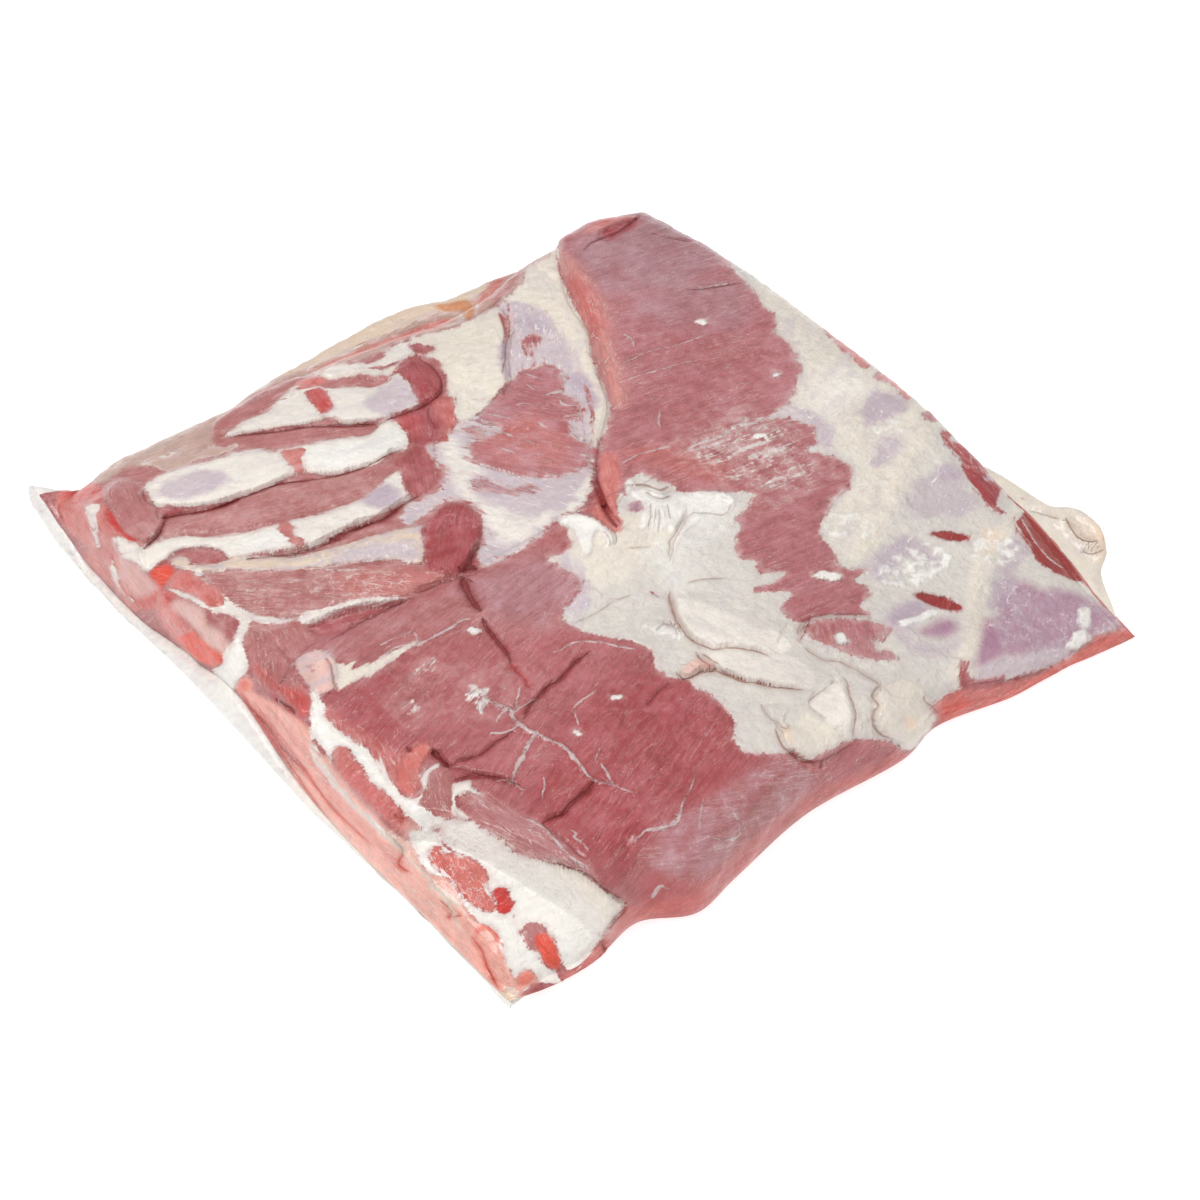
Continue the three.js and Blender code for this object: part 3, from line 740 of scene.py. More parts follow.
    fat("left seam of the front muscle", Tint.WHITE, "-144,-16 -144,-22 -145,-27 -148,-32 -148,-44 -147,-50 "
        "-145,-57 -146,-64 -148,-80 -148,-88 -145,-91 -140,-88 -138,-83 -132,-80 -128,-81 -129,-83 -133,-83 "
        "-142,-92 -146,-94 -145,-100 -145,-104 -140,-107 -144,-110 -150,-108 -154,-112 -154,-110 -154,-92 "
        "-153,-82 -154,-76 -154,-70 -153,-64 -153,-53 -154,-49 -157,-51 -161,-56 -159,-49 -158,-39 "
        "-154,-30", rise=0.4, ragged=0.7, torn=0.12, veil=0.05),
    lean("flap by the hole", Tint.SALMON, "-134,-68 -127,-68 -124,-71 -127,-74 -133,-77 -138,-83 -145,-90 "
        "-147,-87 -146,-80 -141,-74", rise=0.8, soft=2, ragged=0.7, grain=70, marble=0.7, torn=0.4),
    lean("muscle beside the flap", Tint.MAUVE, "-133,-83 -129,-83 -129,-90 -131,-95 -134,-101 -137,-107 "
        "-141,-109 -143,-105 -145,-100 -146,-94 -142,-91", ragged=1.0, grain=60, marble=0.8, torn=0.4),
    lean("side muscle, middle", Tint.CORAL, "-157,-51 -153,-49 -151,-53 -152,-59 -152,-65 -154,-72 -153,-79 "
        "-153,-89 -153,-96 -152,-104 -153,-109 -158,-109 -160,-105 -161,-96 -161,-89 -162,-78 -162,-70 "
        "-162,-62", rise=0.8, dome=0.9, ragged=1.0, grain=20, marble=0.4, torn=0.3),
    lean_wash("side muscle, middle, red", Tint.BRIGHT, "-156,-62 -154,-69 -155,-79 -154,-91 -157,-102 "
        "-158,-98 -159,-88 -160,-76 -160,-68", soft=4, strength=0.45, grain=20),
    lean_wash("side muscle, middle, pale foot", Tint.PALE_PINK,
        "-154,-99 -152,-104 -153,-109 -158,-109 -160,-105", soft=3, strength=0.6),
    fat("exposed fat pad", Tint.WHITE, "-147,-110 -139,-111 -136,-113 -135,-118 -132,-127 -132,-133 "
        "-131,-139 -129,-143 -124,-150 -119,-159 -118,-168 -117,-174 -115,-183 -125,-187 -137,-192 "
        "-144,-196 -149,-196 -152,-195 -150,-189 -146,-175 -147,-170 -151,-168 -154,-169 -152,-163 "
        "-146,-153 -147,-147 -148,-142 -146,-136 -147,-129 -151,-119", ragged=0.6, veil=0.0),
    fat_wash("fat pad, warm rim", Tint.CREAM, "-125,-150 -119,-160 -117,-174 -115,-183 -125,-187 -125,-180 "
        "-125,-167 -126,-157", soft=4, strength=0.8),
    lean("cut face beside the pad", Tint.MAUVE, "-131,-99 -126,-102 -122,-106 -120,-113 -119,-120 -116,-126 "
        "-115,-138 -113,-147 -113,-155 -114,-161 -116,-169 -117,-162 -120,-155 -124,-150 -129,-143 "
        "-132,-137 -132,-132 -131,-128 -133,-127 -134,-116 -135,-113 -132,-109", ragged=0.9, grain=100,
        marble=0.9, torn=0.45, veil=0.6),
    fat("nodule by the cut side", Tint.BONE, "-131,-94 -128,-94 -124,-96 -125,-100 -125,-104 -127,-101 "
        "-131,-100 -135,-101 -136,-109 -136,-112 -138,-107 -135,-100", rise=1.4, dome=0.6, ragged=0.8),
    fat("septum round the side muscles", Tint.WHITE, "-158,-105 -152,-107 -149,-113 -151,-119 -145,-140 "
        "-149,-158 -154,-169 -155,-195 -155,-199 -160,-196 -163,-192 -171,-192 -168,-182 -162,-168 "
        "-160,-163 -163,-157 -163,-149 -162,-143 -160,-135 -163,-128 -163,-118", rise=0.3, ragged=0.6,
        torn=0.1, veil=0.0),
    lean("grainy side muscle", Tint.SALMON, "-157,-116 -153,-117 -154,-120 -150,-124 -147,-129 -146,-136 "
        "-148,-142 -151,-146 -152,-151 -156,-156 -159,-152 -160,-148 -160,-141 -159,-135 -160,-128 "
        "-160,-122", rise=0.6, dome=0.9, ragged=0.9, grain=70, marble=1.0, torn=0.5, frost=0.7),
    lean_wash("grainy side muscle, red rim", Tint.BRIGHT, "-157,-117 -154,-118 -156,-123 -158,-132 "
        "-159,-141 -160,-148 -160,-141 -160,-128", soft=2.5, strength=0.5, **RAW),
    lean("deep red bit", Tint.BRIGHT, "-149,-147 -146,-148 -146,-153 -149,-159 -152,-160 -155,-158 "
        "-153,-153", dome=1.0, soft=1.2, ragged=0.5, **RAW),
    lean("glossy front muscle of the side", Tint.MAUVE, "-154,-170 -149,-168 -146,-170 -146,-175 -147,-182 "
        "-150,-189 -154,-193 -156,-191 -156,-186 -155,-181 -156,-178", rise=0.8, dome=1.2, ragged=0.5,
        grain=80),
    lean_wash("its red end", Tint.ORANGE, "-150,-174 -147,-176 -147,-182 -150,-189 -154,-193 -155,-187 "
        "-154,-180", **RAW),
    lean("ground of the side flesh", Tint.STREAKY, "-172,-51 -183,-57 -186,-94 -187,-121 -185,-157 "
        "-187,-184 -189,-205 -183,-215 -173,-201 -168,-184 -165,-160 -164,-133 -163,-105 -163,-72 -163,-55",
        soft=2, ragged=0.5, grain=88, marble=1.0, veil=0.0),
    lean("streaky side flesh", Tint.STREAKY, "-167,4 -162,7 -160,2 -163,-2 -161,-11 -160,-14 -158,-25 "
        "-157,-34 -160,-40 -161,-47 -160,-54 -162,-60 -164,-76 -164,-87 -163,-100 -161,-107 -161,-114 "
        "-165,-122 -166,-126 -161,-129 -160,-135 -163,-149 -163,-157 -160,-163 -163,-171 -168,-182 "
        "-171,-192 -178,-197 -178,-191 -175,-176 -174,-165 -173,-156 -175,-136 -174,-125 -175,-110 -177,-89 "
        "-177,-75 -176,-61 -171,-31 -168,-8", soft=1.2, ragged=0.7, grain=88, marble=1.0, torn=0.3,
        veil=0.05),
    lean_wash("streaky side flesh, rosy", Tint.SALMON, "-164,-2 -162,-18 -163,-36 -165,-55 -167,-76 "
        "-167,-98 -168,-120 -172,-119 -172,-93 -171,-70 -168,-45 -166,-18", soft=3, strength=0.55, grain=88,
        marble=1.0),
    lean_wash("streaky side flesh, orange root", Tint.ORANGE, "-167,4 -162,6 -161,3 -164,-2 -167,0", soft=2,
        strength=0.75, **RAW),
    fat("pale streak beside the seam", Tint.WHITE, "-157,-34 -161,-47 -164,-61 -165,-77 -165,-90 -163,-105 "
        "-166,-99 -167,-80 -167,-64 -164,-48", ragged=0.8, torn=0.3, veil=0.0),
    lean("orange streak", Tint.ORANGE, "-165,-158 -163,-158 -160,-164 -162,-169 -164,-171 -162,-164 "
        "-164,-160 -168,-162", ragged=0.6, strength=0.9, **RAW),
    lean("orange tip", Tint.STREAKY, "-163,-185 -161,-188 -162,-192 -167,-192 -172,-193 -170,-189 "
        "-168,-186", soft=1.2, ragged=0.6, **RAW),
    lean_wash("orange end of the tip", Tint.ORANGE, "-164,-186 -162,-188 -163,-191 -168,-191 -169,-188",
        soft=1.2, strength=0.6, veil=0.0),
    fat("pale tip of the side", Tint.PEACH, "-178,-190 -178,-197 -172,-193 -173,-188", soft=2, ragged=0.5),
    lean("lower lean edge", Tint.SALMON, "-115,-183 -113,-186 -107,-192 -119,-195 -140,-200 -151,-200 "
        "-155,-200 -155,-196 -152,-195 -147,-196 -140,-194 -131,-190 -123,-186", soft=1.2, ragged=0.5,
        strength=0.7, grain=20),
    # --- flank
    fat_wash("central fat, warm", Tint.CREAM, "-6,4 10,0 30,-6 56,-16 60,-26 40,-30 20,-34 0,-40 -16,-34 "
        "-14,-14", soft=7, grain=30),
    fat("left ribbon of fat", Tint.WHITE, "0,11 5,8 9,3 11,-3 11,-8 10,-14 7,-18 4,-18 6,-13 6,-7 1,-11 "
        "-5,-17 -8,-18 -6,-11 -3,-4 -1,3 -4,6", rise=1.3, soft=1, ragged=0.5),
    fat("upper curls of fat", Tint.WHITE, "37,12 40,12 38,7 35,4 39,3 44,1 44,-3 44,-9 48,-8 51,-9 49,-14 "
        "46,-19 40,-23 35,-26 31,-29 32,-23 27,-24 26,-21 23,-16 28,-10 32,-6 33,-2 33,2 31,4 33,8",
        rise=1.1, soft=1, ragged=0.6),
    fat("standing fold of fat", Tint.WHITE, "51,-11 55,-12 61,-16 66,-21 66,-27 60,-32 55,-33 51,-29 46,-29 "
        "39,-30 34,-31 28,-35 22,-40 17,-44 22,-38 28,-32 35,-27 42,-24 46,-21 48,-16", rise=1.0, ragged=0.5),
    fat_wash("central fat, bright fold", Tint.WHITE,
        "12,-34 30,-28 50,-16 66,-26 54,-38 36,-54 20,-60 10,-56", soft=8, strength=0.55, grain=30),
    fat_wash("central fat, grey middle", Tint.GREYISH, "22,-44 44,-44 40,-70 26,-74 18,-60", soft=8,
        strength=0.8, grain=100),
    fat_wash("fold sheet", Tint.BONE, "10,-56 5,-61 1,-68 -2,-75 -4,-84 -3,-89 -1,-94 7,-99 13,-107 17,-114 "
        "22,-114 24,-111 26,-104 21,-94 18,-84 14,-75 10,-67 11,-61", ragged=1.5, grain=100),
    fat_wash("tongue flap", Tint.BONE, "-6,-92 -2,-93 7,-101 13,-111 20,-119 21,-129 18,-134 14,-136 6,-128 "
        "0,-119 -5,-110 -7,-101", ragged=1.5, grain=120),
    fat_wash("lower flake", Tint.BONE, "27,-138 22,-139 16,-140 10,-141 6,-143 6,-146 6,-151 7,-155 8,-160 "
        "5,-166 8,-167 17,-159 21,-153 24,-147 27,-142", ragged=1.6),
    fat_wash("bottom sheet", Tint.CREAM, "-14,-158 -12,-153 -6,-149 -1,-147 5,-147 6,-155 7,-163 7,-169 "
        "1,-169 -5,-169 -13,-167 -15,-162", soft=2.5),
    fat_wash("finger by the tongue flap", Tint.PALE_PINK, "-21,-97 -18,-96 -14,-95 -10,-96 -8,-100 -8,-105 "
        "-10,-103 -15,-102 -19,-102 -22,-101", rise=1.2, dome=0.6, soft=1, ragged=0.6),
    fat_wash("front lump", Tint.CREAM, "24,-165 30,-158 35,-154 42,-154 47,-156 50,-161 48,-167 47,-175 "
        "45,-179 37,-183 28,-185 22,-185 21,-177 20,-171", rise=1.0, dome=1.4, soft=2, ragged=1.6),
    fat_wash("orange touch on the lump", Tint.PEACH, "32,-173 35,-175 33,-179 29,-178", soft=2.5,
        strength=0.9),
    fat_wash("orange root of the bottom sheet", Tint.PEACH,
        "-10,-146 -8,-147 -9,-151 -11,-155 -13,-155 -12,-151"),
    # Painted shadow: a grey patch behind the fold sheet's back edge.
    fat_wash("painted shadow behind the fold", Tint.GREYISH, "13,-72 18,-75 21,-79 23,-87 25,-97 26,-104 24,-99 "
        "20,-93 18,-85 16,-78", soft=2.5),
    fat_wash("warm shadow of the fold", Tint.BROWNISH, "2,-61 -1,-66 -3,-72 -4,-78 -5,-85 -3,-92 -4,-89 "
        "-4,-82 -2,-74 1,-67 4,-62", soft=2, strength=0.6),
    lean_wash("salmon flesh by the bottom sheet", Tint.SALMON, "-15,-158 -15,-163 -13,-168 -13,-173 "
        "-15,-173 -16,-167 -16,-162", soft=1),
    fat_wash("bluish fat, left", Tint.LILAC, "-36,-38 -24,-30 -20,-16 -14,-12 -18,-34 -30,-46", soft=3,
        ragged=4, marble=1.0, veil=0.9),
    fat_wash("greenish grey fat", Tint.GREYISH, "-20,-80 -8,-76 -8,-92 -22,-98 -18,-120 -2,-128 -10,-148 "
        "-26,-144 -22,-120 -20,-100", soft=5, strength=0.9),
    lean("muscle island", Tint.MAUVE, "35,-109 41,-107 48,-110 56,-117 61,-124 63,-130 58,-132 52,-133 "
        "49,-137 54,-140 53,-145 48,-142 43,-137 39,-130 36,-121 34,-115", rise=0.4, soft=2, ragged=1.4,
        grain=60, marble=0.3, veil=0.8),
    lean_wash("muscle island, red top", Tint.ROSE, "38,-108 48,-111 60,-124 56,-130 44,-120", soft=4),
    fat_wash("flank cream ground", Tint.CREAM, "128,10 150,24 164,58 176,90 196,80 190,-20 178,-30 150,-50 "
        "110,-70 84,-84 80,-70 100,-52 122,-44 124,-30 116,-20 130,-10", soft=5, strength=0.8, grain=25,
        marble=0.7, veil=0.5),
    fat_wash("flank white panel", Tint.BONE, "136,4 160,20 170,10 168,-8 148,-8 134,-8", soft=8, grain=25),
    fat_wash("lilac strip, top right", Tint.DEEP_LILAC, "150,-14 160,-8 170,-10 172,-22 160,-26 148,-24",
        soft=3, ragged=4, strength=0.85, marble=1.0, veil=0.9),
    fat_wash("lilac strip, right", Tint.LILAC, "128,-46 140,-38 150,-36 150,-46 138,-50", soft=3, ragged=4,
        marble=1.0, veil=0.9),
    fat_wash("lilac edge by the muscle", Tint.LILAC, "126,4 134,0 132,-16 122,-26 118,-22 126,-12", soft=3,
        ragged=4, marble=1.0, veil=0.9),
    fat_wash("grey-purple field", Tint.DEEP_LILAC, "124,-73 134,-66 145,-65 153,-72 151,-84 147,-94 139,-95 "
        "131,-90 120,-84", soft=3, ragged=4, strength=0.55, grain=25, marble=1.0, torn=0.6, veil=0.9),
    fat_wash("purple back of the field", Tint.DEEP_LILAC, "146,-66 156,-64 158,-69 155,-75 148,-74",
        soft=2.5, ragged=3, strength=0.75, marble=0.9, veil=0.8),
    fat_wash("lilac by the flakes", Tint.DEEP_LILAC, "83,-95 95,-90 106,-88 109,-96 110,-106 111,-113 "
        "103,-112 101,-101 91,-102 80,-105", soft=3, ragged=4, strength=0.7, marble=1.0, veil=0.9),
    fat_wash("deep purple muscle", Tint.DEEP_LILAC, "65,-124 76,-121 84,-124 84,-132 73,-133 65,-131",
        soft=4, ragged=2, marble=0.3, torn=0.3, veil=0.2),
    fat_wash("purple oval", Tint.PURPLE, "71,-139 80,-138 86,-140 86,-146 79,-148 74,-145", soft=4, ragged=1,
        marble=0.3, torn=0.3, veil=0.2),
    fat_wash("pale ring round the oval", Tint.LILAC, "62,-130 70,-132 66,-142 72,-150 86,-150 96,-142 "
        "90,-150 74,-156 62,-148", soft=4),
    fat_wash("purple wedge", Tint.PURPLE, "95,-145 99,-149 99,-155 96,-162 88,-170 80,-170 74,-167 84,-156",
        soft=4, ragged=1.4, marble=0.3, torn=0.3, veil=0.25, frost=0.35),
    fat_wash("membrane over lean", Tint.PURPLE, "120,-136 127,-142 129,-149 136,-155 140,-164 142,-173 "
        "142,-188 125,-186 110,-186 95,-184 88,-175 94,-161 104,-149 112,-141", soft=4, ragged=3,
        strength=0.9, grain=40, marble=0.3, torn=0.3, veil=0.7, frost=0.5),
    fat_wash("lilac film above the membrane", Tint.DEEP_LILAC, "104,-144 118,-134 130,-126 142,-116 "
        "143,-128 128,-136 112,-148", soft=3, ragged=4, strength=0.7, marble=1.0, veil=0.9),
    fat_wash("pale lilac foot", Tint.LILAC, "66,-172 78,-170 92,-172 110,-180 140,-186 110,-187 88,-184 "
        "74,-178", soft=3),
    lean("pink streak in the foot", Tint.DUSTY, "62,-172 68,-166 73,-161 74,-164 68,-170 70,-174 80,-178 "
        "76,-180 64,-176", ragged=1.0, strength=0.8),
    fat_wash("first cream ridge", Tint.CREAM, "62,-168 74,-158 90,-146 104,-132 120,-120 140,-112 158,-104 "
        "162,-108 144,-116 124,-126 108,-138 94,-152 78,-164 66,-173", soft=3),
    fat_wash("second cream ridge", Tint.CREAM, "78,-84 94,-74 110,-64 128,-54 150,-42 176,-26 176,-38 "
        "156,-50 132,-64 112,-76 96,-86 82,-90", soft=4),
    fat_wash("peach on the ridge", Tint.PEACH, "126,-116 138,-108 142,-113 130,-119", soft=4, strength=0.5),
    lean("right edge muscle", Tint.DEEP, "170,-46 176,-56 175,-71 172,-86 171,-98 166,-104 161,-100 163,-92 "
        "153,-99 152,-105 149,-101 151,-93 153,-84 158,-73 162,-65 165,-53", grain=78, marble=0.8, veil=0.0),
    lean("right edge muscle tip", Tint.DEEP, "172,-31 176,-36 173,-40 170,-36", soft=2, ragged=1,
        strength=0.7),
    fat("pale streak over the right muscle", Tint.LILAC, "168,-54 174,-52 178,-58 172,-58", soft=2,
        ragged=1.5, strength=0.8),
    fat("white patch on the right muscle", Tint.LILAC, "160,-82 166,-81 168,-85 162,-86"),
    lean("front right muscle", Tint.BLOOD, "150,-113 158,-110 162,-112 160,-124 157,-139 153,-154 150,-163 "
        "146,-158 142,-151 141,-143 141,-136 145,-126", soft=1.2, ragged=0.8, grain=78, marble=0.25,
        veil=0.0),
    lean("front right muscle, foot", Tint.DEEP, "148,-158 153,-159 151,-169 149,-182 146,-194 143,-188 "
        "145,-175 145,-166", ragged=1.0, grain=82, marble=0.6, veil=0.2),
    lean("red sliver at the right edge", Tint.SALMON, "178,42 181,46 181,20 178,10 173,10 175,24",
        ragged=0.8),
    lean("red sliver below it", Tint.SALMON, "173,2 180,2 179,-10 178,-18 173,-20 175,-8", ragged=1.0),
    fat("rind flap", Tint.CREAM, "166,-98 174,-96 180,-80 215,-80 215,-200 152,-205 149,-184 152,-168 "
        "155,-152 158,-139 163,-128 165,-112", ragged=0.6, grain=80),
    fat_wash("rind flap, peach", Tint.PEACH, "157,-138 166,-134 174,-132 172,-140 162,-144 156,-143", soft=3,
        strength=0.9),
    fat_wash("rind flap, peach tip", Tint.PEACH, "166,-128 172,-122 175,-128 170,-132", soft=2.5,
        strength=0.6),
    lean("salmon rim of the flank", Tint.SALMON, "42,-180 50,-173 60,-174 72,-181 84,-185 98,-187 116,-185 "
        "128,-184 138,-188 146,-187 152,-240 30,-240", soft=1.2, ragged=0.6, grain=5, marble=0.5),
    lean_wash("orange start of the rim", Tint.ORANGE, "44,-181 50,-174 60,-177 56,-183", soft=3,
        strength=0.5),
    lean_wash("frost web", Tint.ROSE, "76,12 100,18 118,2 114,-20 106,-42 88,-38 74,-22 68,0", soft=8,
        strength=0.0, frost=0.65),
    lean_wash("frost on finger 3", Tint.ROSE, "-118,40 -96,38 -76,22 -74,12 -96,18 -112,28", soft=5,
        strength=0.0, frost=0.7),
    lean("dark lens", Tint.BLOOD, "117,-95 122,-97 126,-101 129,-107 126,-108 121,-104 118,-99", rise=-1.2,
        shoulder=1.2, soft=0.4, ragged=0.1, torn=0.0, **RAW),
    lean("second dark lens", Tint.BLOOD, "85,-120 89,-122 92,-126 95,-132 96,-138 93,-139 89,-135 86,-130",
        rise=-1.2, shoulder=1.2, soft=0.4, ragged=0.1, torn=0.0, **RAW),
)

LIPS: tuple[Lip, ...] = (
    Lip("fold sheet", "10,-56 5,-61 1,-68 -2,-75 -4,-84 -3,-89 -1,-94 3,-96 7,-99 10,-103 13,-107 15,-112 "
        "17,-114", 1.9, 15, 0.8),
    Lip("tongue flap", "-6,-91 -8,-95 -8,-99 -7,-103 -7,-108 -5,-112 -3,-117 0,-120 3,-125 7,-129 11,-133 "
        "14,-136", 1.9, 13, 0.95),
    Lip("lower flake", "7,-155 6,-151 6,-146 6,-143 10,-141 16,-140 22,-139 27,-138", 1.0, 10, 0.15),
    Lip("bottom sheet", "-10,-145 -13,-151 -15,-157 -15,-162 -14,-166 -10,-168 -7,-169 -3,-169 2,-169 "
        "8,-169", 1.5, 12, 0.8),
    Lip("small flake", "-6,-132 -8,-135 -9,-140 -8,-143 -9,-147 -6,-146", 1.2, 6, 0.3),
    Lip("front lump", "39,-154 35,-154 31,-157 30,-162 26,-163 22,-167 20,-171 21,-176 23,-178", 1.5, 11,
        0.6),
    Lip("back of the front lump", "48,-168 46,-170 46,-175 45,-179", 1.0, 7, 0.5),
    Lip("sheet edge below the island", "29,-115 29,-121 30,-127 34,-131 36,-137 37,-143 38,-149 38,-155",
        -0.9, 8, 0.5),
    Lip("lower flake, right edge", "7,-168 12,-163 17,-159 20,-154 23,-148 27,-142 27,-138", 1.3, 11, 0.5),
    Lip("left wrinkle", "-15,-72 -8,-70 -5,-76 -8,-81", 1.2, 7, 0.3),
    Lip("standing fold in the middle", "66,-27 60,-32 55,-33 51,-29 48,-26 46,-24 41,-25 34,-29 28,-34 "
        "23,-39 17,-44", -0.2, 10, 0.3),
    Lip("left ribbon", "6,-19 10,-14 11,-8 11,-3 9,3 5,8 0,10", 0.9, 6, 0.25),
    Lip("curl left of the tongue", "-21,-96 -22,-101 -19,-102 -14,-102 -11,-104 -8,-106", 1.2, 6, 0.9),
    Lip("upper side of the curl", "-7,-104 -8,-100 -8,-97 -9,-95", 0.8, 5, 0.7),
    Lip("long muscle edge", "120,172 106,149 97,130 90,108 78,88 70,71 63,58 54,49 40,36 29,23 23,13 17,0 "
        "15,-12", 0.6, 10, 0.12),
    Lip("triangular fold", "27,94 38,101 48,117 58,129 66,141 68,150", 1.6, 14, 0.25),
    Lip("under the tongue of muscle", "62,-120 48,-109 40,-106 35,-108 30,-112", 1.6, 10, 0.5),
    Lip("edge over the pad", "-128,-143 -123,-150 -118,-160 -117,-169 -116,-175 -115,-183 -123,-186 "
        "-131,-190", 0.9, 8, 0.4),
    Lip("back edge", "76,156 66,152 56,151 48,152", 1.2, 8, 0.6),
)

BROAD_WISPS = (3, 12)
WISPS: tuple[Stroke, ...] = tuple(
    thread(f"wisp {number} on the triangle", line, 1.0 if number in BROAD_WISPS else 0.55, 0.35)
    for number, line in enumerate((
        "47,104 50,97 53,91", "44,95 44,88", "44,83 49,82 54,80", "49,76 48,72 53,67", "31,85 35,83 36,80",
        "17,87 20,83 23,78", "31,69 32,63", "43,65 49,62", "38,56 38,47 43,41", "-7,56 -2,53", "17,47 19,42",
        "12,78 14,74 16,67", "32,39 35,34", "-2,46 2,41", "18,62 22,55", "7,64 10,57",
    ), 1)
)

